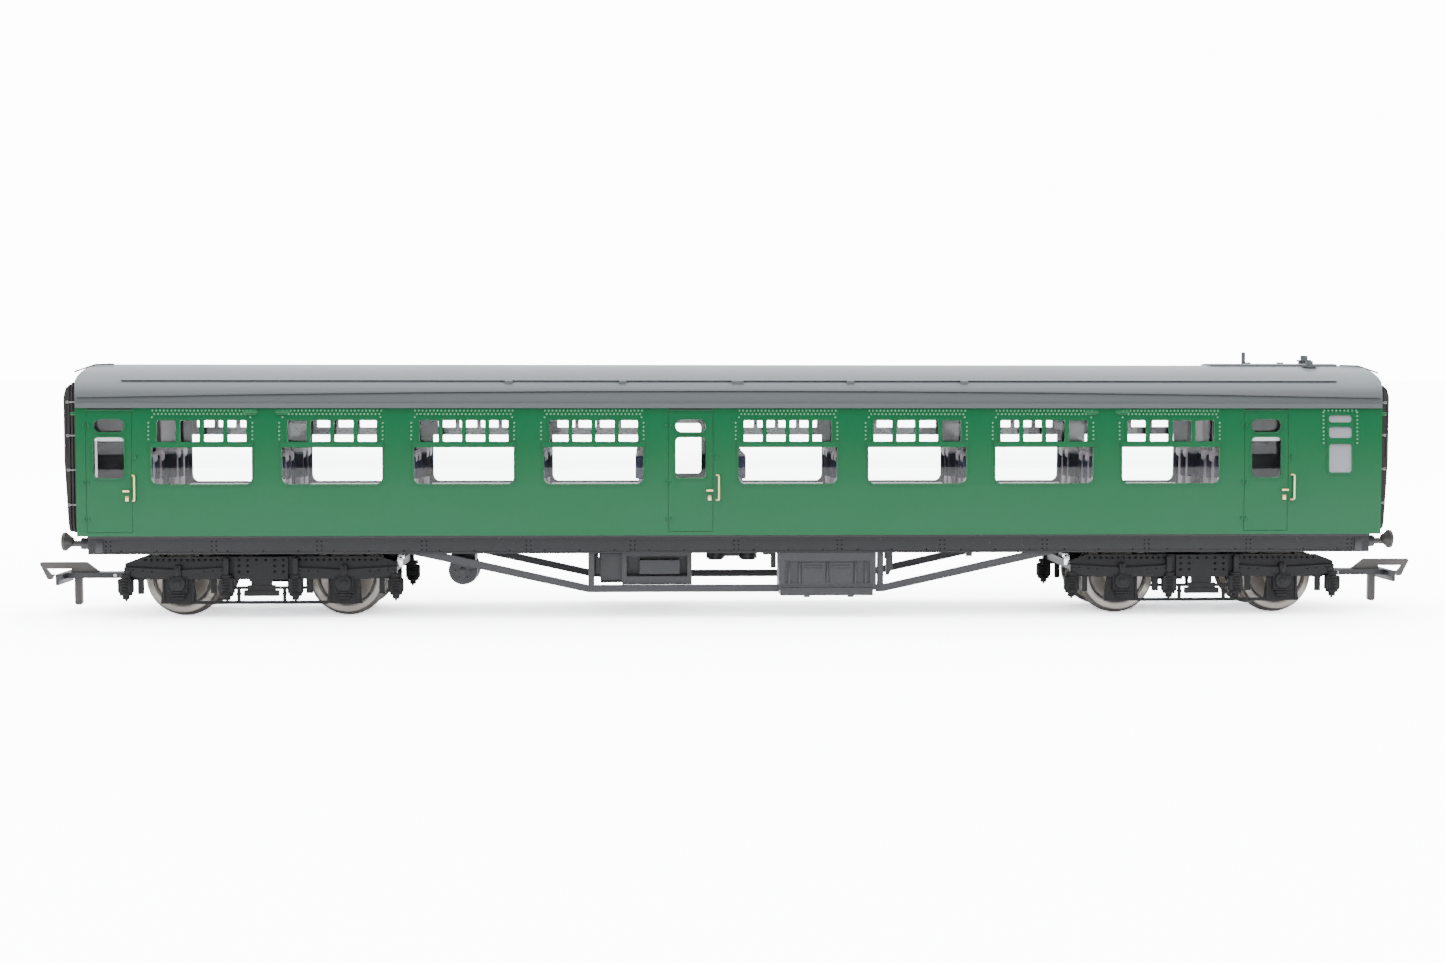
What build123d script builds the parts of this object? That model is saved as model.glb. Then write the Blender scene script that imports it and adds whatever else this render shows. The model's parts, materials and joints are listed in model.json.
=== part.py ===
from build123d import *
import os

# Model railway passenger coach, 4 mm to the foot, for 16.5 mm gauge track.
# Millimetres. +X runs along the coach, +Y to the far side, +Z up.
# Z = 0 is the surface that the wheel flanges stand on, X = Y = 0 is the coach's centre.

# --- driving dimensions -------------------------------------------------------
BODY_LENGTH = 258.0
BODY_HALF = BODY_LENGTH / 2
END_BOW = 2.6
BOW_RADIUS = (17.6 ** 2 + END_BOW ** 2) / (2 * END_BOW)
BOW_CENTRE = BODY_HALF + END_BOW - BOW_RADIUS
BODY_BOTTOM = 16.7
WAIST_Z = 27.0
CANT_Z = 41.8
BOTTOM_HALF_WIDTH = 17.6
WAIST_HALF_WIDTH = 18.0
CANT_HALF_WIDTH = 17.2
LONG_HALF = BODY_HALF + END_BOW + 1
WALL = 1.0
GROOVE = 0.12
RIM = 0.12
THROUGH = 30.0

GUTTER_TOP = 42.8
CROWN_Z = 50.4
ROOF_WALL = 1.2
SHOULDER_Y = 14.0
SHOULDER_Z = 46.93
SHOULDER_MIDDLE = (16.05, 45.21)
DOME_LENGTH = 5.0
DOME_DROP = 3.2
ROOF_HALF_WIDTH = CANT_HALF_WIDTH + 0.3
STRIP_PROUD = 0.28
STRIP_HEIGHTS = ((44.25, 45.65), (43.85, 45.2))
STRAIGHT_STRIP_Z = (47.2, 47.55)
STRAIGHT_STRIP_HALF = 121.0

WINDOW_LEFTS = (-114.30, -88.99, -63.32, -37.93, 0.33, 26.04, 51.29, 76.63)
WINDOW_WIDTH = 19.45
PANE_Z = (26.9, 34.1)
PANE_CORNER = 1.3
RIM_WIDTH = 0.3
TRANSOM_Z = (34.1, 35.1)
TRANSOM_PROUD = 0.3
TOPLIGHT_Z = (35.2, 39.4)
TOPLIGHT_INSET = 1.05
MULLION = 0.8
DOOR_LEFTS = (-126.9, -13.5, 101.2)
DOOR_WIDTH = 8.8
DOOR_Z = (17.4, 41.3)
DROPLIGHT_Z = (28.05, 36.05)
DOORLIGHT_Z = (37.05, 39.6)
DOOR_GLASS_INSET = 1.45
TOILET_X = (118.2, 122.8)
TOILET_PANES = ((29.0, 34.7), (35.9, 38.1), (39.0, 40.4))
TOILET_GLASS_X = (TOILET_X[0] - 1.5, TOILET_X[1] + 1.5)
END_DOOR_WIDTH = 7.6
RAIL_X = (-117.5, -3.55, 111.1)
HANDLE_X = (-119.1, -5.35, 109.3)
GLAZING_Z = (26.2, 40.9)
GLAZING_INNER_Y = 15.6
GLAZING_CREST_Z = 34.9
GLAZING_EDGE_Y = (16.06, 15.82)
GLASS_RECESS = 0.1

FLOOR_Z = (16.2, 17.6)
WEIGHT_TOP = 19.0
TRAY_TOP = 19.9
SEAT_BACK_TOP = 32.8
CUSHION_TOP = 24.2
BACK_THICKNESS = 1.6
SEAT_LENGTH = 6.0
BACK_OFFSET = 0.55
PARTITION_HALF = 0.6
SEAT_INNER_Y = 4.0
SEAT_OUTER_Y = 15.2
PARTITION_X = (-118.0, -16.6, -1.5, 99.2, 113.0)

SOLEBAR_Z = (13.0, 16.2)
SOLEBAR_Y = (14.9, 15.8)
SOLEBAR_HALF = 126.0
FLOOR_HALF_WIDTH = 16.1
HEADSTOCK_FACE = 127.4
BUFFER_Y = 11.4
BUFFER_Z = 15.2
BUFFER_FACE = 133.5
GANGWAY_HALF_WIDTH = 7.0
GANGWAY_FACE = 134.3
GANGWAY_PLATE_X = 133.2
GANGWAY_ROOT_X = 131.0
GANGWAY_SIDE_VIEW = (
    (GANGWAY_ROOT_X, 16.2), (133.6, 16.8), (GANGWAY_FACE, 31.0), (GANGWAY_FACE, 43.8),
    (133.9, 45.5), (132.8, 46.7), (GANGWAY_ROOT_X, 47.1),
)

POST_X = 28.8
TRUSS_Y = (14.5, 15.5)
TRUSS_Z = (5.2, 6.6)
TRUSS_ROOT_X = 62.0
POST_HALF = 0.6
TRUSS_JOINT = 0.02
BATTERY_X = (8.5, 27.9)
EQUIPMENT_X = (-22.7, -8.8)
DYNAMO_X = -54.5
DYNAMO_Z = 9.3
CYLINDERS_X = (-3.5, 3.3)

BOGIE_X = 94.1
AXLE_HALF_BASE = 16.3
AXLE_Z = 7.9
TREAD_RADIUS = 7.1
FLANGE_RADIUS = 7.9
WHEEL_BACK = 7.2
WHEEL_FRONT = 9.8
SIDE_HALF = 26.8
AXLE_RADIUS = 1.0
JOURNAL_RADIUS = 0.6
JOURNAL_CLEARANCE = 0.06
JOURNAL_END = 12.5
SIDE_PLATE_Y = 12.8
FRAME_Z = (9.0, 11.5)
PIVOT_RADIUS = 1.5
PIVOT_CLEARANCE = 0.1
PAD_RADIUS = 3.6
PAD_GAP = 0.1

HOOK_TIP = 141.6
HOOK_PIVOT_X = 126.0
HOOK_PIVOT_Z = 7.45
HOOK_PIN_RADIUS = 0.35
HOOK_HALF_THICKNESS = 0.5

os.makedirs("parts", exist_ok=True)


def save(piece, name):
    """Label a finished piece and write it as one STEP file."""
    piece.part.label = name
    export_step(piece.part, f"parts/{name}.step")


def box_between(x, y, z, mode=Mode.ADD):
    """A box given by its lowest and highest X, Y and Z, in the current part."""
    with Locations(((x[0] + x[1]) / 2, (y[0] + y[1]) / 2, (z[0] + z[1]) / 2)):
        Box(x[1] - x[0], y[1] - y[0], z[1] - z[0], mode=mode)


def side_rectangle(x, z, radius=0.0):
    """A rectangle on the XZ plane, in the current sketch, with optional round corners."""
    with Locations(((x[0] + x[1]) / 2, (z[0] + z[1]) / 2)):
        if radius:
            RectangleRounded(x[1] - x[0], z[1] - z[0], radius)
        else:
            Rectangle(x[1] - x[0], z[1] - z[0])


def body_solid(shift, extra, half, mode=Mode.ADD):
    """The body's section moved outwards by shift and taller by extra, from -half to half."""
    bottom_width = BOTTOM_HALF_WIDTH + shift
    top_width = CANT_HALF_WIDTH + shift
    with BuildSketch(Plane.YZ.offset(-half)) as section:
        with BuildLine():
            for side in (-1, 1):
                ThreePointArc(
                    (side * bottom_width, BODY_BOTTOM),
                    (side * (WAIST_HALF_WIDTH + shift), WAIST_Z),
                    (side * top_width, CANT_Z),
                )
                if extra:
                    Line((side * bottom_width, BODY_BOTTOM), (side * bottom_width, BODY_BOTTOM - extra))
                    Line((side * top_width, CANT_Z), (side * top_width, CANT_Z + extra))
            Line((-bottom_width, BODY_BOTTOM - extra), (bottom_width, BODY_BOTTOM - extra))
            Line((-top_width, CANT_Z + extra), (top_width, CANT_Z + extra))
        make_face()
    extrude(section.sketch, amount=2 * half, mode=mode)


def bow_form(shrink=0.0):
    """Everything inside the bowed, domed ends: the body and roof are trimmed to it."""
    radius = BOW_RADIUS - shrink
    crown = CROWN_Z - shrink
    with BuildPart() as form:
        box_between((-BOW_CENTRE, BOW_CENTRE), (-THROUGH, THROUGH), (0, crown + 4))
        for end in (-1, 1):
            with BuildSketch(Plane.XZ) as half_section:
                with BuildLine():
                    dome = ThreePointArc(
                        (end * (BOW_CENTRE + radius - DOME_LENGTH), crown),
                        (end * (BOW_CENTRE + radius - DOME_LENGTH * 0.293), crown - DOME_DROP * 0.293),
                        (end * (BOW_CENTRE + radius), crown - DOME_DROP))
                    Polyline(dome @ 1, (end * (BOW_CENTRE + radius), 0), (end * BOW_CENTRE, 0),
                             (end * BOW_CENTRE, crown), dome @ 0)
                make_face()
            revolve(half_section.sketch, axis=Axis((end * BOW_CENTRE, 0, 0), (0, 0, 1)))
    return form.part


def window_spans():
    """Every glazed opening on one side: X span, Z span and corner radius."""
    spans = []
    for left in WINDOW_LEFTS:
        right = left + WINDOW_WIDTH
        spans.append(((left, right), PANE_Z, PANE_CORNER))
        spans.append(((left, right), (sum(PANE_Z) / 2, PANE_Z[1]), 0.0))
        light_left = left + TOPLIGHT_INSET
        light_width = (WINDOW_WIDTH - 2 * TOPLIGHT_INSET - 3 * MULLION) / 4
        for pane in range(4):
            start = light_left + pane * (light_width + MULLION)
            spans.append(((start, start + light_width), TOPLIGHT_Z, 0.25))
    for left in DOOR_LEFTS:
        span = (left + DOOR_GLASS_INSET, left + DOOR_WIDTH - DOOR_GLASS_INSET)
        spans.append((span, DROPLIGHT_Z, 0.8))
        spans.append((span, DOORLIGHT_Z, 1.2))
    for pane in TOILET_PANES:
        spans.append((TOILET_X, pane, 0.5))
    return spans


# --- body shell ---------------------------------------------------------------
# Door shut lines are a groove in the outer skin. Rims stand a little proud of it.
with BuildPart() as door_grooves:
    with BuildSketch(Plane.XZ):
        for left in DOOR_LEFTS:
            side_rectangle((left - GROOVE / 2, left + DOOR_WIDTH + GROOVE / 2), DOOR_Z)
        for left in DOOR_LEFTS:
            with Locations((left + DOOR_WIDTH / 2, sum(DOOR_Z) / 2)):
                Rectangle(DOOR_WIDTH - GROOVE, DOOR_Z[1] - DOOR_Z[0] - 2 * GROOVE,
                          mode=Mode.SUBTRACT)
    extrude(amount=THROUGH, both=True)
    body_solid(1.0, 2.0, BODY_HALF + 1, Mode.INTERSECT)
    body_solid(-GROOVE, 3.0, BODY_HALF + 2, Mode.SUBTRACT)

with BuildPart() as window_rims:
    with BuildSketch(Plane.XZ):
        for left in WINDOW_LEFTS:
            right = left + WINDOW_WIDTH
            side_rectangle((left - RIM_WIDTH, right + RIM_WIDTH),
                           (PANE_Z[0] - RIM_WIDTH, PANE_Z[1]), PANE_CORNER + RIM_WIDTH)
            side_rectangle((left - RIM_WIDTH, right + RIM_WIDTH), (sum(PANE_Z) / 2, PANE_Z[1]))
            side_rectangle(
                (left + TOPLIGHT_INSET - 0.3, right - TOPLIGHT_INSET + 0.3),
                (TOPLIGHT_Z[0] - 0.3, TOPLIGHT_Z[1] + 0.3), 0.45)
        for left in DOOR_LEFTS:
            span = (left + DOOR_GLASS_INSET - 0.3, left + DOOR_WIDTH - DOOR_GLASS_INSET + 0.3)
            side_rectangle(span, (DROPLIGHT_Z[0] - 0.3, DROPLIGHT_Z[1] + 0.3), 1.0)
            side_rectangle(span, (DOORLIGHT_Z[0] - 0.3, DOORLIGHT_Z[1] + 0.3), 1.5)
        side_rectangle(
            (TOILET_X[0] - 0.35, TOILET_X[1] + 0.35),
            (TOILET_PANES[0][0] - 0.35, TOILET_PANES[-1][1] + 0.35), 0.8)
    extrude(amount=THROUGH, both=True)
    body_solid(RIM, 1.0, BODY_HALF, Mode.INTERSECT)
    body_solid(-WALL / 2, 2.0, BODY_HALF + 1, Mode.SUBTRACT)

with BuildPart() as transoms:
    with BuildSketch(Plane.XZ):
        for left in WINDOW_LEFTS:
            side_rectangle((left - RIM_WIDTH, left + WINDOW_WIDTH + RIM_WIDTH), TRANSOM_Z)
    extrude(amount=THROUGH, both=True)
    body_solid(TRANSOM_PROUD, 1.0, BODY_HALF, Mode.INTERSECT)
    body_solid(-WALL / 2, 2.0, BODY_HALF + 1, Mode.SUBTRACT)

with BuildPart() as body_block:
    body_solid(0.0, 0.0, LONG_HALF)
    add(bow_form(), mode=Mode.INTERSECT)

with BuildPart() as body_hollow:
    body_solid(-WALL, 1.0, LONG_HALF)
    add(bow_form(WALL), mode=Mode.INTERSECT)

with BuildPart() as body_shell:
    add(body_block.part)
    add(body_hollow.part, mode=Mode.SUBTRACT)
    add(window_rims.part)
    add(transoms.part)
    add(door_grooves.part, mode=Mode.SUBTRACT)
    with BuildSketch(Plane.XZ):
        for span, height, radius in window_spans():
            side_rectangle(span, height, radius)
    extrude(amount=THROUGH, both=True, mode=Mode.SUBTRACT)
    with BuildSketch(Plane.YZ):
        with Locations((0, 29.5)):
            Rectangle(END_DOOR_WIDTH, 24.0)
    extrude(amount=LONG_HALF, both=True, mode=Mode.SUBTRACT)
save(body_shell, "body_shell")

# --- glazing ------------------------------------------------------------------
# Each side is one clear moulding: a strip inside the wall with plugs that fill the openings,
# curved outside like the body and gently bulged inside, so that it is thickest at the transom.
with BuildPart() as clear_moulding:
    body_solid(-GLASS_RECESS, 0.0, BODY_HALF - WALL)
    with BuildSketch(Plane.YZ.offset(-BODY_HALF)) as moulding_section:
        with BuildLine():
            inner = ThreePointArc((-GLAZING_EDGE_Y[0], GLAZING_Z[0]), (-GLAZING_INNER_Y, GLAZING_CREST_Z),
                                  (-GLAZING_EDGE_Y[1], GLAZING_Z[1]))
            Polyline(inner @ 1, (-THROUGH, GLAZING_Z[1]), (-THROUGH, GLAZING_Z[0]), inner @ 0)
        make_face()
    extrude(moulding_section.sketch, amount=BODY_LENGTH, mode=Mode.INTERSECT)
    add(door_grooves.part, mode=Mode.SUBTRACT)
    add(body_shell.part, mode=Mode.SUBTRACT)

with BuildPart() as glazing_near:
    add(clear_moulding.part)
    box_between((TOILET_GLASS_X[0], BODY_HALF), (-THROUGH, 0), GLAZING_Z, mode=Mode.SUBTRACT)
save(glazing_near, "glazing_near")

with BuildPart() as glazing_far:
    mirror(glazing_near.part, about=Plane.XZ)
save(glazing_far, "glazing_far")

with BuildPart() as toilet_glass:
    add(clear_moulding.part)
    box_between(TOILET_GLASS_X, (-THROUGH, 0), GLAZING_Z, mode=Mode.INTERSECT)
    mirror(about=Plane.XZ)
save(toilet_glass, "toilet_glass")

# --- roof ---------------------------------------------------------------------
def roof_section(x, shift=0.0, bottom=CANT_Z):
    """The roof's cross-section: a flat crown arc with a tight shoulder arc each side."""
    with BuildSketch(Plane.YZ.offset(x)) as section:
        with BuildLine():
            eaves = CANT_HALF_WIDTH + shift
            shoulder = (SHOULDER_Y + 0.47 * shift, SHOULDER_Z + 0.88 * shift)
            middle = (SHOULDER_MIDDLE[0] + 0.79 * shift, SHOULDER_MIDDLE[1] + 0.61 * shift)
            ThreePointArc((-shoulder[0], shoulder[1]), (0, CROWN_Z + shift), shoulder)
            for side in (-1, 1):
                ThreePointArc((side * shoulder[0], shoulder[1]), (side * middle[0], middle[1]),
                              (side * eaves, GUTTER_TOP))
                Line((side * eaves, GUTTER_TOP), (side * eaves, bottom))
            Line((-eaves, bottom), (eaves, bottom))
        make_face()
    return section.sketch


with BuildPart() as roof_block:
    extrude(roof_section(-LONG_HALF), amount=2 * LONG_HALF)
    add(bow_form(), mode=Mode.INTERSECT)

with BuildPart() as roof:
    add(roof_block.part)
    # gutter ledge along both eaves
    for side in (-1, 1):
        ledge_y = sorted((side * (CANT_HALF_WIDTH - 0.5), side * ROOF_HALF_WIDTH))
        box_between((-BODY_HALF, BODY_HALF), ledge_y, (CANT_Z, GUTTER_TOP - 0.05))
    # hollow inside
    extrude(roof_section(DOME_LENGTH - BODY_HALF, -ROOF_WALL, CANT_Z - 1),
            amount=BODY_LENGTH - 2 * DOME_LENGTH, mode=Mode.SUBTRACT)

with BuildPart() as rain_strips:
    with BuildSketch(Plane.XZ):
        with BuildLine():
            upper, lower = (
                ThreePointArc((-BODY_HALF, end_z), (0, middle_z), (BODY_HALF, end_z))
                for end_z, middle_z in STRIP_HEIGHTS)
            Line(upper @ 0, lower @ 0)
            Line(upper @ 1, lower @ 1)
        make_face()
        side_rectangle((-STRAIGHT_STRIP_HALF, STRAIGHT_STRIP_HALF), STRAIGHT_STRIP_Z)
    extrude(amount=THROUGH, both=True)
    extrude(roof_section(0.3 - BODY_HALF, STRIP_PROUD), amount=BODY_LENGTH - 0.6,
            mode=Mode.INTERSECT)
    extrude(roof_section(-BODY_HALF, -ROOF_WALL / 2), amount=BODY_LENGTH, mode=Mode.SUBTRACT)

with BuildPart() as roof_finished:
    add(roof.part)
    add(rain_strips.part)
save(roof_finished, "roof")

with BuildPart() as water_tank_cover:
    extrude(roof_section(98.2, 0.4), amount=26.4)
    box_between((98.2, 124.6), (-3.5, 3.5), (48.0, 52.0), mode=Mode.INTERSECT)
    add(roof_finished.part, mode=Mode.SUBTRACT)
    box_between((98.2, 124.6), (-3.5, 3.5), (44.0, 49.6), mode=Mode.SUBTRACT)
    chamfer(water_tank_cover.edges().filter_by(Axis.X).sort_by(Axis.Z)[-2:], 0.15)
save(water_tank_cover, "water_tank_cover")

with BuildPart() as roof_ventilators:
    for x, width in ((-45.0, 1.5), (-22.5, 1.5), (0.3, 2.4), (22.8, 1.5), (45.5, 1.5)):
        for side in (-1, 1):
            with Locations((x, side * 13.9, 46.9)):
                Box(width, 1.5, 1.1)
    extrude(roof_section(-BODY_HALF, 0.5), amount=BODY_LENGTH, mode=Mode.INTERSECT)
    add(roof_finished.part, mode=Mode.SUBTRACT)
save(roof_ventilators, "roof_ventilators")

with BuildPart() as toilet_ventilators:
    for x, y, base in ((118.3, -5.0, 49.3), (119.2, 1.0, 50.5)):
        with Locations((x, y, base + 0.4)):
            Cylinder(1.2, 0.8)
        with Locations((x, y, base + 0.95)):
            Cylinder(1.52, 0.3)
        with Locations((x, y, base + 1.55)):
            Cylinder(0.75, 0.9)
    add(roof_finished.part, mode=Mode.SUBTRACT)
    add(water_tank_cover.part, mode=Mode.SUBTRACT)
save(toilet_ventilators, "toilet_ventilators")

with BuildPart() as filler_pipe:
    with Locations((106.4, 1.0, 51.9)):
        Cylinder(0.42, 2.6)
    fillet(filler_pipe.edges().sort_by(Axis.Z)[-1], 0.3)
    with Locations((107.3, 1.0, 50.85)):
        Cylinder(0.65, 0.5)
    with Locations((114.0, 0.6, 50.85)):
        Cylinder(0.7, 0.45)
    add(water_tank_cover.part, mode=Mode.SUBTRACT)
    add(roof_finished.part, mode=Mode.SUBTRACT)
save(filler_pipe, "filler_pipe")

with BuildPart() as roof_conduits:
    for end in (-1, 1):
        with BuildLine() as run:
            FilletPolyline((end * 125.0, -3.8, 50.42), (end * 128.6, -4.6, 50.3),
                           (end * 132.5, -5.4, 48.85), radius=1.5)
        with BuildSketch(Plane(run.line @ 0, z_dir=run.line % 0)):
            Circle(0.17)
        sweep(path=run.line)
    add(roof_finished.part, mode=Mode.SUBTRACT)
    add(water_tank_cover.part, mode=Mode.SUBTRACT)
save(roof_conduits, "roof_conduits")

# --- end doors and gangways ----------------------------------------------------
with BuildPart() as end_doors:
    for end in (-1, 1):
        leaf_x = sorted((end * (BODY_HALF + END_BOW - 1.0), end * (BODY_HALF + END_BOW - 0.3)))
        panel_x = sorted((end * (BODY_HALF + END_BOW - 0.5), end * (BODY_HALF + END_BOW)))
        box_between(leaf_x, (-END_DOOR_WIDTH / 2, END_DOOR_WIDTH / 2), (17.7, 41.5))
        box_between(panel_x, (-2.6, 2.6), (30.0, 39.5), mode=Mode.SUBTRACT)
        box_between(panel_x, (-2.6, 2.6), (19.0, 28.6), mode=Mode.SUBTRACT)
save(end_doors, "end_doors")

def gangway_outline(end):
    """The whole gangway's outer shape: its side view met with its arched end view."""
    with BuildSketch(Plane.XZ) as side_view:
        with BuildLine():
            Polyline(*[(end * x, z) for x, z in GANGWAY_SIDE_VIEW], close=True)
        make_face()
    extrude(side_view.sketch, amount=GANGWAY_HALF_WIDTH, both=True)
    with BuildSketch(Plane.YZ.offset(-THROUGH * 5)) as end_view:
        with Locations((0, 31.7)):
            RectangleRounded(2 * GANGWAY_HALF_WIDTH, 31.2, 2.6)
    extrude(end_view.sketch, amount=THROUGH * 10, mode=Mode.INTERSECT)
    with BuildSketch(Plane.YZ.offset(-THROUGH * 5)) as doorway:
        with Locations((0, 30.3)):
            RectangleRounded(7.8, 24.6, 0.6)
    extrude(doorway.sketch, amount=THROUGH * 10, mode=Mode.SUBTRACT)
    add(body_block.part, mode=Mode.SUBTRACT)
    add(roof_block.part, mode=Mode.SUBTRACT)


for tag, end in (("a", -1), ("b", 1)):
    plate_x = sorted((end * GANGWAY_PLATE_X, end * (GANGWAY_FACE + 1)))
    with BuildPart() as gangway_bellows:
        gangway_outline(end)
        box_between(plate_x, (-THROUGH, THROUGH), (0, 60), mode=Mode.SUBTRACT)
        # three folds run round the outside of the bellows
        for fold in range(3):
            fold_x = end * (GANGWAY_ROOT_X + 0.75 + fold * 0.62)
            with BuildSketch(Plane.YZ.offset(fold_x - 0.12)) as fold_ring:
                Rectangle(60, 120)
                with Locations((0, 31.5)):
                    RectangleRounded(2 * GANGWAY_HALF_WIDTH - 0.9, 29.6, 2.2, mode=Mode.SUBTRACT)
            extrude(fold_ring.sketch, amount=0.24, mode=Mode.SUBTRACT)
    save(gangway_bellows, f"gangway_bellows_{tag}")
    with BuildPart() as gangway_plate:
        gangway_outline(end)
        box_between(plate_x, (-THROUGH, THROUGH), (0, 60), mode=Mode.INTERSECT)
    save(gangway_plate, f"gangway_plate_{tag}")

# --- interior -------------------------------------------------------------------
with BuildPart() as ballast_weight:
    box_between((-80, 80), (-11, 11), (FLOOR_Z[1], WEIGHT_TOP))
    with Locations((-30, 0, WEIGHT_TOP), (30, 0, WEIGHT_TOP)):
        Hole(1.5)
save(ballast_weight, "ballast_weight")

with BuildPart() as interior_tray:
    box_between((-127.2, 127.2), (-15.4, 15.4), (FLOOR_Z[1], TRAY_TOP))
    box_between((-80.2, 80.2), (-11.2, 11.2), (FLOOR_Z[1] - 1, WEIGHT_TOP), mode=Mode.SUBTRACT)
save(interior_tray, "interior_tray")

pillars = [
    (WINDOW_LEFTS[i] + WINDOW_WIDTH + WINDOW_LEFTS[i + 1]) / 2 for i in (0, 1, 2, 4, 5, 6)
]
# every seat: the X of its back's rear face and the way that it faces
seat_places = [(x + BACK_OFFSET, 1) for x in pillars] + [(x - BACK_OFFSET, -1) for x in pillars]
seat_places += [(PARTITION_X[0] + 0.8, 1), (PARTITION_X[1] - 0.8, -1)]
seat_places += [(PARTITION_X[2] + 0.8, 1), (PARTITION_X[3] - 0.8, -1)]
for name, side in (("seats_near", -1), ("seats_far", 1)):
    with BuildPart() as seats:
        span_y = sorted((side * SEAT_INNER_Y, side * SEAT_OUTER_Y))
        for rear_x, facing in seat_places:
            back = sorted((rear_x, rear_x + facing * BACK_THICKNESS))
            cushion = sorted((rear_x, rear_x + facing * SEAT_LENGTH))
            box_between(back, span_y, (TRAY_TOP, SEAT_BACK_TOP))
            box_between(cushion, span_y, (TRAY_TOP, CUSHION_TOP))
    save(seats, name)

with BuildPart() as partitions:
    for x in PARTITION_X:
        box_between((x - PARTITION_HALF, x + PARTITION_HALF), (-15.3, 15.3), (TRAY_TOP, 41.2))
        box_between((x - 1.0, x + 1.0), (-3.4, 3.4), (TRAY_TOP - 1, 38.6), mode=Mode.SUBTRACT)
save(partitions, "partitions")

# --- underframe ------------------------------------------------------------------
with BuildPart() as floor_pan:
    box_between((-HEADSTOCK_FACE, HEADSTOCK_FACE), (-FLOOR_HALF_WIDTH, FLOOR_HALF_WIDTH), FLOOR_Z)
save(floor_pan, "floor_pan")

with BuildPart() as pivot_screws:
    for x in (-BOGIE_X, BOGIE_X):
        with Locations((x, 0, (8.7 + FRAME_Z[1] + 3.4) / 2)):
            Cylinder(PIVOT_RADIUS - 0.01, FRAME_Z[1] + 3.4 - 8.7)
        with Locations((x, 0, 8.25)):
            Cylinder(2.7, 0.9)
        box_between((x - 3, x + 3), (-0.3, 0.3), (7.7, 8.2), mode=Mode.SUBTRACT)
save(pivot_screws, "pivot_screws")

for name, side in (("solebar_near", -1), ("solebar_far", 1)):
    with BuildPart() as solebar:
        box_between((-SOLEBAR_HALF, SOLEBAR_HALF), sorted((side * y for y in SOLEBAR_Y)), SOLEBAR_Z)
        face_y = sorted((side * (SOLEBAR_Y[1] - 0.22), side * (SOLEBAR_Y[1] + 1)))
        box_between((-SOLEBAR_HALF + 0.6, SOLEBAR_HALF - 0.6), face_y,
                    (SOLEBAR_Z[0] + 0.35, SOLEBAR_Z[1] - 0.3), mode=Mode.SUBTRACT)
    save(solebar, name)

with BuildPart() as headstocks:
    for end in (-1, 1):
        box_between(sorted((end * SOLEBAR_HALF, end * HEADSTOCK_FACE)),
                    (-SOLEBAR_Y[1], SOLEBAR_Y[1]), SOLEBAR_Z)
save(headstocks, "headstocks")

BUFFER_PLACES = [(end, side) for end in (-1, 1) for side in (-1, 1)]
with BuildPart() as buffer_housings:
    for end, side in BUFFER_PLACES:
        box_between(sorted((end * HEADSTOCK_FACE, end * (HEADSTOCK_FACE + 0.5))),
                    (side * BUFFER_Y - 1.5, side * BUFFER_Y + 1.5), (13.5, 16.1))
        with BuildSketch(Plane.YZ.offset(end * (HEADSTOCK_FACE + 0.5))) as barrel:
            with Locations((side * BUFFER_Y, BUFFER_Z - 0.4)):
                Circle(1.15)
        extrude(barrel.sketch, amount=end * 1.9)
save(buffer_housings, "buffer_housings")

with BuildPart() as buffer_heads:
    shank_start = HEADSTOCK_FACE + 2.4
    for end, side in BUFFER_PLACES:
        with BuildSketch(Plane.YZ.offset(end * shank_start)) as shank:
            with Locations((side * BUFFER_Y, BUFFER_Z - 0.4)):
                Circle(0.6)
        extrude(shank.sketch, amount=end * (BUFFER_FACE - 0.7 - shank_start))
        with BuildSketch(Plane.YZ.offset(end * (BUFFER_FACE - 0.7))) as head:
            with Locations((side * BUFFER_Y, BUFFER_Z)):
                Circle(1.85)
        extrude(head.sketch, amount=end * 0.7)
    head_rims = buffer_heads.edges().filter_by(GeomType.CIRCLE).group_by(Axis.X)
    fillet(head_rims[0] + head_rims[-1], 0.25)
save(buffer_heads, "buffer_heads")

# --- truss ------------------------------------------------------------------------
def truss(side, bar_gap):
    """Posts, sloping ties and a bottom bar, each its own straight piece of one side's truss."""
    span_y = sorted(side * y for y in TRUSS_Y)
    for end in (-1, 1):
        box_between(sorted((end * (POST_X - POST_HALF), end * (POST_X + POST_HALF))), span_y,
                    (TRUSS_Z[0], SOLEBAR_Z[0]))
        with BuildSketch(Plane.XZ.offset(-span_y[1])) as tie:
            with BuildLine():
                foot_x = end * (POST_X + POST_HALF + TRUSS_JOINT)
                Polyline(
                    (foot_x, TRUSS_Z[0]), (foot_x, TRUSS_Z[1]),
                    (end * (TRUSS_ROOT_X - 4), SOLEBAR_Z[0]), (end * (TRUSS_ROOT_X + 3), SOLEBAR_Z[0]),
                    close=True)
            make_face()
        extrude(tie.sketch, amount=TRUSS_Y[1] - TRUSS_Y[0])
    bar_end = POST_X - POST_HALF - TRUSS_JOINT
    for start, finish in ((-bar_end, bar_gap[0]), (bar_gap[1], bar_end)):
        box_between((start, finish), span_y, TRUSS_Z)


with BuildPart() as truss_near:
    truss(-1, BATTERY_X)
save(truss_near, "truss_near")

with BuildPart() as truss_far:
    truss(1, (-BATTERY_X[1], -BATTERY_X[0]))
save(truss_far, "truss_far")


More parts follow.
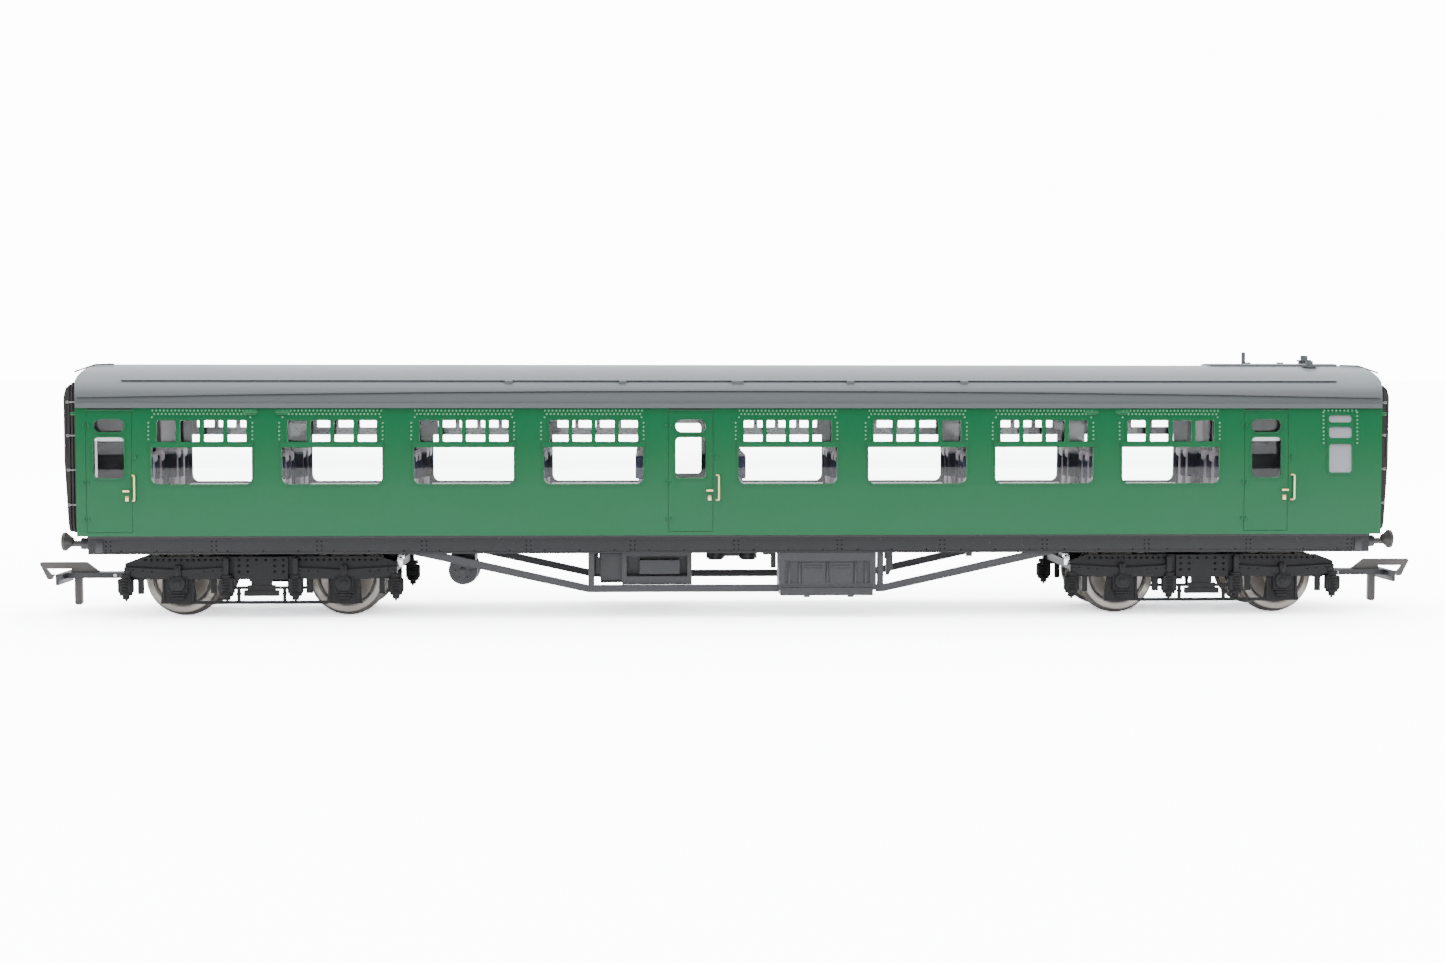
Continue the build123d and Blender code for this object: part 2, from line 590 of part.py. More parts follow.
def battery_box(x, side):
    """A battery box with a doored front, a hanging lip and two feet."""
    front = 15.9
    depth = 6.5
    body_y = sorted((side * (front - depth), side * front))
    box_between(x, body_y, (5.6, SOLEBAR_Z[0]))
    box_between((x[0] + 0.3, x[1] - 0.6), sorted((side * (front - depth), side * (front + 0.25))),
                (4.5, 6.0))
    door_x = (x[0] + 1.2, x[1] - 1.2)
    proud = sorted((side * (front - 0.3), side * (front + 1)))
    box_between(door_x, proud, (6.9, 11.4), mode=Mode.SUBTRACT)
    # two doors between upright ribs, each with a handle bar
    middle = (door_x[0] + door_x[1]) / 2
    for centre in (middle - 2.75, middle + 2.75):
        box_between((centre - 2.4, centre + 2.4), sorted((side * (front - 0.4), side * (front - 0.12))),
                    (6.9, 11.0))
        box_between((centre - 1.9, centre + 1.9), sorted((side * (front - 0.2), side * (front + 0.1))),
                    (10.1, 10.5))
    for foot in (x[0] + 5.6, x[0] + 14.4):
        box_between((foot - 0.6, foot + 0.6), sorted((side * (front - 1.0), side * (front - 0.2))),
                    (4.1, 4.6))


with BuildPart() as battery_box_near:
    battery_box(BATTERY_X, -1)
save(battery_box_near, "battery_box_near")

with BuildPart() as battery_box_far:
    battery_box((-BATTERY_X[1], -BATTERY_X[0]), 1)
save(battery_box_far, "battery_box_far")

with BuildPart() as equipment_box:
    box_between(EQUIPMENT_X, (-14.4, -8.0), (TRUSS_Z[1], SOLEBAR_Z[0]))
    box_between((EQUIPMENT_X[0] + 0.9, EQUIPMENT_X[1] - 0.9), (-15, -11.5), (8.2, 12.3),
                mode=Mode.SUBTRACT)
    box_between((EQUIPMENT_X[0] + 3.5, EQUIPMENT_X[1] - 2.4), (-13.6, -11.4), (8.6, 11.4))
    box_between((-27.0, -22.6), (-13.2, -8.5), (7.4, SOLEBAR_Z[0] - 0.3))
    box_between((-27.9, -26.9), (-12.4, -11.0), (8.6, 11.8))
save(equipment_box, "equipment_box")
# the boxes hang from the floor by packing blocks, and the bogies turn under round pads
with BuildPart() as floor_blocks:
    box_between((-26.5, -9.5), (-13.0, -8.5), (SOLEBAR_Z[0], FLOOR_Z[0]))
    box_between((9.5, 26.9), (-14.4, -10.0), (SOLEBAR_Z[0], FLOOR_Z[0]))
    box_between((-26.9, -9.5), (10.0, 14.4), (SOLEBAR_Z[0], FLOOR_Z[0]))
    for x in (-BOGIE_X, BOGIE_X):
        with Locations((x, 0, (FRAME_Z[1] + PAD_GAP + FLOOR_Z[0]) / 2)):
            Cylinder(PAD_RADIUS, FLOOR_Z[0] - FRAME_Z[1] - PAD_GAP)
        with Locations((x, 0, FRAME_Z[1] + 1.5)):
            Cylinder(PIVOT_RADIUS, 4.0, mode=Mode.SUBTRACT)
save(floor_blocks, "floor_blocks")

with BuildPart() as dynamo:
    with BuildSketch(Plane.XZ.offset(4.0)) as drum:
        with Locations((DYNAMO_X, DYNAMO_Z)):
            Circle(2.9)
    extrude(drum.sketch, amount=8.0)
    fillet(dynamo.edges().filter_by(GeomType.CIRCLE), 0.4)
    with BuildSketch(Plane.XZ.offset(12.0)) as cover:
        with Locations((DYNAMO_X, DYNAMO_Z)):
            Circle(2.0)
    extrude(cover.sketch, amount=0.35)
    box_between((DYNAMO_X - 2.4, DYNAMO_X + 2.4), (-11.0, -5.0), (10.8, FLOOR_Z[0]))
save(dynamo, "dynamo")

with BuildPart() as vacuum_cylinders:
    for x in CYLINDERS_X:
        with Locations((x, 4.0, 13.2)):
            Cylinder(1.9, 6.0)
        with Locations((x, 4.0, 10.3)):
            Cylinder(1.5, 0.8)
    box_between(CYLINDERS_X, (3.2, 4.8), (10.6, 12.2))
save(vacuum_cylinders, "vacuum_cylinders")

with BuildPart() as brake_brackets:
    box_between((7.2, 8.2), (-11.2, -9.6), (9.6, FLOOR_Z[0]))
    box_between((5.6, 7.3), (-11.0, -9.8), (12.2, 13.4))
    with BuildSketch(Plane.XZ.offset(12.4)) as pointed_hanger:
        with BuildLine():
            Polyline((29.9, FLOOR_Z[0]), (31.5, FLOOR_Z[0]), (31.5, 9.6), (30.7, 8.3), (30.2, 8.3),
                     (30.2, 11.6), (29.9, 11.6), close=True)
        make_face()
    extrude(pointed_hanger.sketch, amount=1.0)
    box_between((46.4, 47.6), (-13.2, -12.2), (12.0, FLOOR_Z[0]))
save(brake_brackets, "brake_brackets")

# --- door furniture -----------------------------------------------------------------
with BuildPart() as grab_rails:
    for x in RAIL_X:
        with BuildLine() as rail_line:
            FilletPolyline((x - 0.5, -17.96, 23.7), (x, -18.6, 23.7), (x, -18.6, 28.6),
                           (x - 0.5, -17.96, 28.6), radius=0.3)
        with BuildSketch(Plane(rail_line.line @ 0, z_dir=rail_line.line % 0)):
            Circle(0.19)
        sweep(path=rail_line.line)
    add(body_shell.part, mode=Mode.SUBTRACT)
    mirror(about=Plane.XZ)
save(grab_rails, "grab_rails")

with BuildPart() as door_handles:
    for x in HANDLE_X:
        box_between((x - 0.2, x + 0.2), (-18.35, -17.8), (25.4, 25.8))
        box_between((x - 0.65, x + 0.65), (-18.62, -18.3), (25.42, 25.78))
    add(body_shell.part, mode=Mode.SUBTRACT)
    mirror(about=Plane.XZ)
save(door_handles, "door_handles")

# --- bogies -------------------------------------------------------------------------
# Bogie parts are shaped about the bogie's own centre, then set at each end of the coach.
def outwards(half, start, finish):
    """An X span on one half of the bogie, measured outwards from its middle."""
    return sorted((half * start, half * finish))


def side_block(x, z, inner, outer):
    """A block on the near side frame, by its X and Z spans and its depth from the centre line."""
    box_between(x, (-outer, -inner), z)


def side_plate(points, inner, outer):
    """A plate on the near side frame with a drawn outline."""
    with BuildSketch(Plane.XZ.offset(inner)) as plate:
        with BuildLine():
            Polyline(*points, close=True)
        make_face()
    extrude(plate.sketch, amount=outer - inner)


with BuildPart() as side_master:
    # rivet plate, lower beam with its lit ledge, and the riveted plate at the middle
    side_plate(((-SIDE_HALF, 10.2), (-SIDE_HALF, 11.0), (-23.4, 12.3), (23.4, 12.3),
                (SIDE_HALF, 11.0), (SIDE_HALF, 10.2)), SIDE_PLATE_Y, 13.4)
    side_block((-SIDE_HALF, SIDE_HALF), (7.9, 10.2), SIDE_PLATE_Y, 13.4)
    side_block((-5.3, 5.3), (7.8, 12.3), 13.3, 13.9)
    for half in (-1, 1):
        beam = ((half * 6.6, 10.2), (half * 16.0, 9.7), (half * SIDE_HALF, 10.35),
                (half * SIDE_HALF, 8.7), (half * 21.5, 7.9), (half * 6.6, 7.9))
        side_plate(beam, 13.3, 14.2)
        # horn guides and axlebox with its round cover and top spindle
        guide = ((half * 12.8, 3.0), (half * 13.6, 8.2), (half * 19.2, 8.2), (half * 19.8, 3.0))
        side_plate(guide, SIDE_PLATE_Y, 13.7)
        side_block(outwards(half, 14.4, 18.2), (5.1, 8.4), 13.6, 14.3)
        side_block(outwards(half, 15.2, 17.4), (3.8, 5.3), 13.6, 14.1)
        with BuildSketch(Plane.XZ.offset(14.2)) as cover:
            with Locations((half * AXLE_HALF_BASE, 7.1)):
                Circle(1.35)
        extrude(cover.sketch, amount=0.5)
        side_block(outwards(half, 15.7, 16.9), (8.3, 10.6), 13.6, 14.6)
        # inner spring housing with its rod and pointed foot
        side_block(outwards(half, 5.5, 8.0), (5.4, 8.0), 13.0, 14.7)
        side_block(outwards(half, 6.3, 7.3), (8.0, 12.0), 13.8, 14.5)
        side_block(outwards(half, 6.4, 7.1), (4.6, 5.4), 13.4, 14.2)
        side_block(outwards(half, 6.55, 6.95), (3.5, 4.7), 13.6, 14.0)
        # brake block hanger between wheel and side frame
        side_block(outwards(half, 8.8, 10.0), (5.0, 8.0), 12.9, 13.6)
        # end spring housing, stub and pointed foot
        side_block(outwards(half, 25.3, 27.8), (5.7, 7.4), 12.9, 14.6)
        side_block(outwards(half, 25.7, 27.3), (5.0, 7.9), 13.0, 14.4)
        side_block(outwards(half, 26.1, 26.9), (4.2, 5.1), 13.4, 14.2)
        side_block(outwards(half, 26.3, 26.7), (3.5, 4.3), 13.6, 14.0)
        side_block(outwards(half, 25.6, 26.6), (7.8, 9.8), 13.2, 14.5)
        side_block(outwards(half, 23.2, 24.3), (4.9, 8.8), 12.9, 13.6)
    # swing bolster with its spring pack, hangers and the long thin tie bar below
    side_block((-3.4, 3.4), (4.5, 5.6), 12.9, 14.2)
    side_block((-2.7, 2.7), (5.6, 6.6), 12.9, 14.0)
    side_block((-2.0, 2.0), (6.6, 7.9), 12.9, 13.8)
    for half in (-1, 1):
        side_block(outwards(half, 3.2, 5.6), (5.9, 6.4), 13.2, 13.8)
        side_block(outwards(half, 4.2, 4.8), (3.4, 6.3), 13.2, 13.8)
    side_block((-13.0, 13.0), (2.9, 3.5), 13.2, 13.7)

with BuildPart() as bearing_master:
    for x in (-AXLE_HALF_BASE, AXLE_HALF_BASE):
        for side in (-1, 1):
            with BuildSketch(Plane.XZ.offset(side * SIDE_PLATE_Y)) as cup:
                with Locations((x, AXLE_Z)):
                    Circle(1.3)
            extrude(cup.sketch, amount=-side * 0.8)
            with BuildSketch(Plane.XZ.offset(side * (JOURNAL_END + 0.15))) as bore:
                with Locations((x, AXLE_Z)):
                    Circle(JOURNAL_RADIUS + JOURNAL_CLEARANCE)
            extrude(bore.sketch, amount=-side * 2.0, mode=Mode.SUBTRACT)

with BuildPart() as frame_master:
    box_between((-6.6, 6.6), (-SIDE_PLATE_Y, SIDE_PLATE_Y), FRAME_Z)
    box_between((-25.6, 25.6), (-3.2, 3.2), (10.0, FRAME_Z[1]))
    for half in (-1, 1):
        box_between(outwards(half, 24.7, 26.2), (-SIDE_PLATE_Y, SIDE_PLATE_Y), (9.0, 10.6))
    with Locations((0, 0, sum(FRAME_Z) / 2)):
        Cylinder(PIVOT_RADIUS + PIVOT_CLEARANCE, 4.0, mode=Mode.SUBTRACT)

with BuildPart() as axle_master:
    with BuildSketch(Plane.XZ.offset(-JOURNAL_END)) as journal:
        with Locations((0, AXLE_Z)):
            Circle(JOURNAL_RADIUS)
    extrude(journal.sketch, amount=2 * JOURNAL_END)
    with BuildSketch(Plane.XZ.offset(-11.6)) as shaft:
        with Locations((0, AXLE_Z)):
            Circle(AXLE_RADIUS)
    extrude(shaft.sketch, amount=2 * 11.6)

with BuildPart() as wheels_master:
    # half-section of one wheel: coned tread, flange at the back, dished web
    with BuildSketch(Plane.YZ) as wheel_section:
        with BuildLine():
            hub = Polyline(
                (-WHEEL_BACK, AXLE_RADIUS), (-WHEEL_BACK, 2.2), (-WHEEL_BACK - 0.5, 2.4),
                (-WHEEL_BACK - 0.5, 6.0), (-WHEEL_BACK, 6.2), (-WHEEL_BACK, FLANGE_RADIUS - 0.25))
            ThreePointArc(hub @ 1, (-WHEEL_BACK - 0.32, FLANGE_RADIUS),
                          (-WHEEL_BACK - 0.64, FLANGE_RADIUS - 0.25))
            Polyline(
                (-WHEEL_BACK - 0.64, FLANGE_RADIUS - 0.25), (-WHEEL_BACK - 0.8, TREAD_RADIUS + 0.1),
                (-WHEEL_FRONT + 0.15, TREAD_RADIUS), (-WHEEL_FRONT, TREAD_RADIUS - 0.15),
                (-WHEEL_FRONT, 6.0), (-WHEEL_FRONT + 0.35, 5.85), (-WHEEL_FRONT + 0.35, 5.35),
                (-WHEEL_FRONT + 0.12, 5.2), (-WHEEL_FRONT + 0.55, 2.6), (-WHEEL_FRONT, 2.2),
                (-WHEEL_FRONT, AXLE_RADIUS), (-WHEEL_BACK, AXLE_RADIUS))
        make_face()
    revolve(wheel_section.sketch, axis=Axis.Y)
    mirror(about=Plane.XZ)


def hook_outline(end):
    """The coupling hook's side view: eye, tail, raised arm with barbed nose, and dropper."""
    tip = HOOK_TIP
    points = (
        (HOOK_PIVOT_X - 0.9, 6.9), (133.1, 6.9), (133.1, 1.6), (133.5, 1.3), (134.2, 1.3),
        (134.6, 1.6), (134.6, 6.9), (135.2, 6.9), (135.2, 8.7), (tip - 1.2, 8.7), (tip - 2.2, 7.5),
        (tip - 3.0, 7.5), (tip - 2.3, 6.5), (tip - 1.5, 6.6), (tip, 9.7), (tip - 0.2, 10.05),
        (tip - 9.4, 10.05), (tip - 11.3, 8.6), (129.4, 8.0), (HOOK_PIVOT_X - 0.9, 8.0),
    )
    with BuildSketch(Plane.XZ.offset(-HOOK_HALF_THICKNESS)) as outline:
        with BuildLine():
            Polyline(*[(end * x, z) for x, z in points], close=True)
        make_face()
        with Locations((end * HOOK_PIVOT_X, HOOK_PIVOT_Z)):
            Circle(HOOK_PIN_RADIUS + 0.06, mode=Mode.SUBTRACT)
    return outline.sketch


for tag, end in (("a", -1), ("b", 1)):
    centre = end * BOGIE_X
    with BuildPart() as bogie_frame:
        with Locations((centre, 0, 0)):
            add(frame_master.part)
    save(bogie_frame, f"bogie_{tag}_frame")
    with BuildPart() as bogie_side_near:
        with Locations((centre, 0, 0)):
            add(side_master.part)
    save(bogie_side_near, f"bogie_{tag}_side_near")
    with BuildPart() as bogie_side_far:
        mirror(bogie_side_near.part, about=Plane.XZ)
    save(bogie_side_far, f"bogie_{tag}_side_far")
    with BuildPart() as bogie_bearings:
        with Locations((centre, 0, 0)):
            add(bearing_master.part)
    save(bogie_bearings, f"bogie_{tag}_bearings")

    for place, x in (("outer", end * (BOGIE_X + AXLE_HALF_BASE)),
                     ("inner", end * (BOGIE_X - AXLE_HALF_BASE))):
        with BuildPart() as axle:
            with Locations((x, 0, 0)):
                add(axle_master.part)
        save(axle, f"axle_{tag}_{place}")
        with BuildPart() as wheels:
            with Locations((x, 0, AXLE_Z)):
                add(wheels_master.part)
        save(wheels, f"wheels_{tag}_{place}")

    with BuildPart() as coupling_bar:
        box_between(sorted((end * 118.8, end * 135.6)), (-1.9, 1.9), (6.9, 8.0))
        box_between(sorted((end * 118.8, end * 122.6)), (-3.0, 3.0), (6.6, 9.0))
        box_between(sorted((end * 124.6, end * 135.6)), (-0.75, 0.75), (6.0, 9.0), mode=Mode.SUBTRACT)
        # bumper bar with its turned-down lip
        box_between(sorted((end * 135.6, end * 137.0)), (-5.2, 5.2), (6.9, 8.0))
        box_between(sorted((end * 136.4, end * 137.0)), (-5.2, 5.2), (5.8, 7.0))
        fillet(coupling_bar.edges().filter_by(Axis.Y).sort_by(Axis.Z)[-1:], 0.2)
        with BuildSketch(Plane.XZ.offset(-4)) as pin_hole:
            with Locations((end * HOOK_PIVOT_X, HOOK_PIVOT_Z)):
                Circle(HOOK_PIN_RADIUS)
        extrude(pin_hole.sketch, amount=8, mode=Mode.SUBTRACT)
    save(coupling_bar, f"coupling_bar_{tag}")
    with BuildPart() as hook_pin:
        with BuildSketch(Plane.XZ.offset(-1.9)) as pin:
            with Locations((end * HOOK_PIVOT_X, HOOK_PIVOT_Z)):
                Circle(HOOK_PIN_RADIUS)
        extrude(pin.sketch, amount=3.8)
    save(hook_pin, f"hook_pin_{tag}")
    with BuildPart() as coupling_hook:
        extrude(hook_outline(end), amount=2 * HOOK_HALF_THICKNESS)
    save(coupling_hook, f"coupling_hook_{tag}")
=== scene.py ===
import json
import math

import bpy
from mathutils import Matrix, Vector


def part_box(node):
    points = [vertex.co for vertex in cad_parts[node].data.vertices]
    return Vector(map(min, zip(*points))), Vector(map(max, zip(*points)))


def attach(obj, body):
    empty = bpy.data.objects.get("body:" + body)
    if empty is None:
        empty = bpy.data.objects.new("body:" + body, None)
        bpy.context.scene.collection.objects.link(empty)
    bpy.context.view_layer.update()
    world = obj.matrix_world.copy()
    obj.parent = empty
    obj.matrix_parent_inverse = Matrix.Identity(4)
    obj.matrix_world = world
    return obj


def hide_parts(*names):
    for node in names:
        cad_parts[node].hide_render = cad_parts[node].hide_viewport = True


bl_info = {
    "name": "Model Passenger Coach",
    "version": (1, 0, 0),
    "blender": (4, 5, 0),
    "location": "3D View > Sidebar > Coach",
    "description": "Builds the finishes and fine detail of a model railway passenger coach",
    "category": "Object",
}

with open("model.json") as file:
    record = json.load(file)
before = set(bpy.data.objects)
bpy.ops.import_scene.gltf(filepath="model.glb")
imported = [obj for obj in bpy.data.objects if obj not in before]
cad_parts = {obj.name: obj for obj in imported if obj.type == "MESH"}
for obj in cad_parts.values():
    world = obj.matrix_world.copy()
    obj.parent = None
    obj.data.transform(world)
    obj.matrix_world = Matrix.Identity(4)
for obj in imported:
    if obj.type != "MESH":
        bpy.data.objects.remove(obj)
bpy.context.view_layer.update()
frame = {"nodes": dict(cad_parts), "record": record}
MM = 0.001
SIDES = (("near", -1), ("far", 1))
BOGIES = (("a", -1), ("b", 1))
BOGIE_X = 94.1
AXLE_X = 16.3
AXLE_Z = 7.1
BEAM_Y = -13.85
BUFFER_Y = 11.4
WINDOW_LEFTS = (-114.30, -88.99, -63.32, -37.93, 0.33, 26.04, 51.29, 76.63)
WINDOW_WIDTH = 19.45
DOOR_LEFTS = (-126.9, -13.5, 101.2)
DOOR_WIDTH = 8.8
WAIST, WAIST_Z = 18.0, 27.0
BOW_RADIUS = 60.87
BOW_CENTRE = 70.73
SHARP_ANGLE = math.radians(35)
BODY_PAINT = dict(roughness=0.34, edge_gain=0.35, mottle_gain=0.04, edge_radius=0.00006, specular=0.3)
SIDE_RIVET_ROWS = (41.3, 40.62)
TOPLIGHT_RIVETS = (35.7, 38.9)
HINGE_HEIGHTS = (38.6, 27.2, 20.0)
LOCK_PLACES = (-119.1, -5.35, 109.3)
CLIP_HEIGHTS = (42.8, 36.1, 29.2, 22.2)
SOLEBAR_FACE = -15.58
SOLEBAR_RIVETS = (13.75, 14.6, 15.45)
SKIN_BOW = ((17.6, 16.7), (WAIST, WAIST_Z), (17.2, 41.8))


# --- working with the mesh tools ------------------------------------------------
def deselect():
    """Leave object mode with nothing selected."""
    if bpy.context.mode != "OBJECT":
        bpy.ops.object.mode_set(mode="OBJECT")
    bpy.ops.object.select_all(action="DESELECT")


def pick(obj):
    """Select one object alone and make it active."""
    deselect()
    obj.select_set(True)
    bpy.context.view_layer.objects.active = obj
    return obj


def settle(obj):
    """Move the object's place, turn and scale into its mesh."""
    pick(obj)
    bpy.ops.object.transform_apply(location=True, rotation=True, scale=True)
    return obj


def block(name, low, high):
    """A box between two corners given in millimetres."""
    deselect()
    low, high = Vector(low), Vector(high)
    bpy.ops.mesh.primitive_cube_add(size=1, location=(low + high) / 2 * MM)
    obj = bpy.context.object
    obj.name = name
    obj.scale = (high - low) * MM
    return settle(obj)


def drum(name, centre, radius, depth, axis="Z", sides=32):
    """A round bar about a main axis, sizes in millimetres."""
    deselect()
    turn = {"X": (0, math.pi / 2, 0), "Y": (math.pi / 2, 0, 0), "Z": (0, 0, 0)}[axis]
    bpy.ops.mesh.primitive_cylinder_add(
        vertices=sides, radius=radius * MM, depth=depth * MM, location=Vector(centre) * MM,
        rotation=turn)
    obj = bpy.context.object
    obj.name = name
    return settle(obj)


def add_modifier(obj, kind, **values):
    """Put a modifier on a piece, set it and apply it at once."""
    pick(obj)
    modifier = obj.modifiers.new(kind.lower(), kind)
    for key, value in values.items():
        setattr(modifier, key, value)
    bpy.ops.object.modifier_apply(modifier=modifier.name)
    return obj


def soften(obj, width, segments=2):
    """Round the sharp edges by a width in millimetres and shade the rest smooth."""
    add_modifier(obj, "BEVEL", width=width * MM, segments=segments, limit_method="ANGLE",
                 angle_limit=SHARP_ANGLE, harden_normals=False)
    pick(obj)
    bpy.ops.object.shade_smooth_by_angle(angle=SHARP_ANGLE)
    return obj


def copy_at(obj, places, keep=False):
    """Copies of a piece at offsets in millimetres, each with its own mesh."""
    copies = []
    for place in places:
        twin = obj.copy()
        twin.data = obj.data.copy()
        bpy.context.collection.objects.link(twin)
        twin.data.transform(Matrix.Translation(Vector(place) * MM))
        copies.append(twin)
    if not keep:
        bpy.data.objects.remove(obj)
    return copies


def rivet_head(radius, height=0.85):
    """A low domed rivet head on the near side, its flat back at Y = 0."""
    deselect()
    bpy.ops.mesh.primitive_ico_sphere_add(subdivisions=1, radius=radius * MM)
    head = bpy.context.object
    bpy.ops.object.mode_set(mode="EDIT")
    bpy.ops.mesh.select_all(action="SELECT")
    bpy.ops.mesh.bisect(plane_co=(0, 0, 0), plane_no=(0, 1, 0), clear_outer=True, use_fill=True)
    bpy.ops.object.mode_set(mode="OBJECT")
    head.scale = (1, height, 1)
    settle(head)
    pick(head)
    bpy.ops.object.shade_smooth_by_angle(angle=math.radians(60))
    return head


def skin_arc():
    """Centre and radius of the body side's arc through foot, waist and cantrail."""
    (y1, z1), (y2, z2), (y3, z3) = SKIN_BOW
    d = 2 * (y1 * (z2 - z3) + y2 * (z3 - z1) + y3 * (z1 - z2))
    s1, s2, s3 = y1 * y1 + z1 * z1, y2 * y2 + z2 * z2, y3 * y3 + z3 * z3
    centre_y = (s1 * (z2 - z3) + s2 * (z3 - z1) + s3 * (z1 - z2)) / d
    centre_z = (s1 * (y3 - y2) + s2 * (y1 - y3) + s3 * (y2 - y1)) / d
    return centre_y, centre_z, math.hypot(y1 - centre_y, z1 - centre_z)


def skin_y(z):
    """Half-width of the body side at a height."""
    centre_y, centre_z, radius = skin_arc()
    return centre_y + math.sqrt(radius ** 2 - (z - centre_z) ** 2)


def on_side(x, z, proud=0.0):
    """A point on the near body side, in millimetres."""
    return (x, -skin_y(z) - proud, z)


def join(objs, name):
    """Join pieces into one object with a plain name."""
    deselect()
    for obj in objs:
        obj.select_set(True)
    bpy.context.view_layer.objects.active = objs[0]
    if len(objs) > 1:
        bpy.ops.object.join()
    joined = bpy.context.object
    joined.name = name
    joined.data.name = name
    return joined


def mirrored(obj, name, axis="Y"):
    """A mirror image of a piece across the coach's middle plane, faces turned outwards again."""
    twin = obj.copy()
    twin.data = obj.data.copy()
    twin.name = name
    bpy.context.collection.objects.link(twin)
    flip = {"X": (-1, 1, 1), "Y": (1, -1, 1)}[axis]
    twin.data.transform(Matrix.Diagonal((*flip, 1)))
    pick(twin)
    bpy.ops.object.mode_set(mode="EDIT")
    bpy.ops.mesh.select_all(action="SELECT")
    bpy.ops.mesh.flip_normals()
    bpy.ops.object.mode_set(mode="OBJECT")
    return twin


def fit(obj, material, body):
    """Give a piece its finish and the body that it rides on."""
    obj.data.materials.clear()
    obj.data.materials.append(material)
    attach(obj, body)
    return obj


# --- node helpers ------------------------------------------------------------------
def new_material(name):
    """An empty material with its output and Principled shader."""
    material = bpy.data.materials.new(name)
    material.use_nodes = True
    tree = material.node_tree
    tree.nodes.clear()
    shader = tree.nodes.new("ShaderNodeBsdfPrincipled")
    output = tree.nodes.new("ShaderNodeOutputMaterial")
    tree.links.new(shader.outputs[0], output.inputs[0])
    return material, tree, shader


def new_group(name, inputs, outputs):
    """A shader node group with named sockets: (name, kind, default) each."""
    group = bpy.data.node_groups.new(name, "ShaderNodeTree")
    for label, kind, default in inputs:
        socket = group.interface.new_socket(label, in_out="INPUT", socket_type=kind)
        socket.default_value = default
    for label, kind in outputs:
        group.interface.new_socket(label, in_out="OUTPUT", socket_type=kind)
    start = group.nodes.new("NodeGroupInput")
    end = group.nodes.new("NodeGroupOutput")
    return group, start, end


def math_node(tree, operation, first, second=None):
    """A Math node fed by sockets or plain numbers."""
    node = tree.nodes.new("ShaderNodeMath")
    node.operation = operation
    for index, value in enumerate((first, second)):
        if value is None:
            continue
        if isinstance(value, (int, float)):
            node.inputs[index].default_value = value
        else:
            tree.links.new(value, node.inputs[index])
    return node.outputs[0]


def mix_colour(tree, factor, first, second):
    """A colour Mix node; the factor and colours may be sockets or values."""
    node = tree.nodes.new("ShaderNodeMix")
    node.data_type = "RGBA"
    for socket, value in ((node.inputs[0], factor), (node.inputs[6], first), (node.inputs[7], second)):
        if isinstance(value, bpy.types.NodeSocket):
            tree.links.new(value, socket)
        elif isinstance(value, (int, float)):
            socket.default_value = value
        else:
            socket.default_value = (*value, 1) if len(value) == 3 else value
    return node.outputs[2]


def noise(tree, scale, detail=2.0, roughness=0.5):
    """Noise on the object's own coordinates, at a scale in features per metre."""
    coords = tree.nodes.new("ShaderNodeTexCoord")
    texture = tree.nodes.new("ShaderNodeTexNoise")
    texture.inputs["Scale"].default_value = scale
    texture.inputs["Detail"].default_value = detail
    texture.inputs["Roughness"].default_value = roughness
    tree.links.new(coords.outputs["Object"], texture.inputs["Vector"])
    return texture.outputs[0]


def ramp(tree, value, low, high):
    """Stretch a value so that low becomes 0 and high becomes 1."""
    node = tree.nodes.new("ShaderNodeMapRange")
    node.inputs["From Min"].default_value = low
    node.inputs["From Max"].default_value = high
    tree.links.new(value, node.inputs["Value"])
    return node.outputs[0]


def edge_light_group():
    """Rounded-edge normal and an edge mask, from a small bevel."""
    group, start, end = new_group(
        "edge_light", [("Radius", "NodeSocketFloat", 0.0001)],
        [("Edge", "NodeSocketFloat"), ("Normal", "NodeSocketVector")])
    bevel = group.nodes.new("ShaderNodeBevel")
    bevel.samples = 6
    group.links.new(start.outputs["Radius"], bevel.inputs["Radius"])
    geometry = group.nodes.new("ShaderNodeNewGeometry")
    dot = group.nodes.new("ShaderNodeVectorMath")
    dot.operation = "DOT_PRODUCT"
    group.links.new(bevel.outputs[0], dot.inputs[0])
    group.links.new(geometry.outputs["Normal"], dot.inputs[1])
    edge = math_node(group, "SUBTRACT", 1.0, dot.outputs["Value"])
    group.links.new(ramp(group, edge, 0.01, 0.3), end.inputs["Edge"])
    group.links.new(bevel.outputs[0], end.inputs["Normal"])
    return group


def skin_group():
    """Fine grain, broad mottling and dust for painted or moulded plastic."""
    group, start, end = new_group(
        "moulded_skin",
        [("Grain", "NodeSocketFloat", 9000.0), ("Mottle", "NodeSocketFloat", 60.0)],
        [("Grain", "NodeSocketFloat"), ("Mottle", "NodeSocketFloat"), ("Dust", "NodeSocketFloat")])
    for label, detail in (("Grain", 2.0), ("Mottle", 3.0)):
        coords = group.nodes.new("ShaderNodeTexCoord")
        texture = group.nodes.new("ShaderNodeTexNoise")
        texture.inputs["Detail"].default_value = detail
        group.links.new(coords.outputs["Object"], texture.inputs["Vector"])
        group.links.new(start.outputs[label], texture.inputs["Scale"])
        group.links.new(texture.outputs[0], end.inputs[label])
    specks = noise(group, 1500.0, 4.0, 0.7)
    group.links.new(ramp(group, specks, 0.66, 0.80), end.inputs["Dust"])
    return group


EDGE_LIGHT = edge_light_group()
MOULDED_SKIN = skin_group()


def place_group(tree, group, **values):
    """Put a node group in a material with its own values."""
    node = tree.nodes.new("ShaderNodeGroup")
    node.node_tree = group
    for key, value in values.items():
        node.inputs[key].default_value = value
    return node


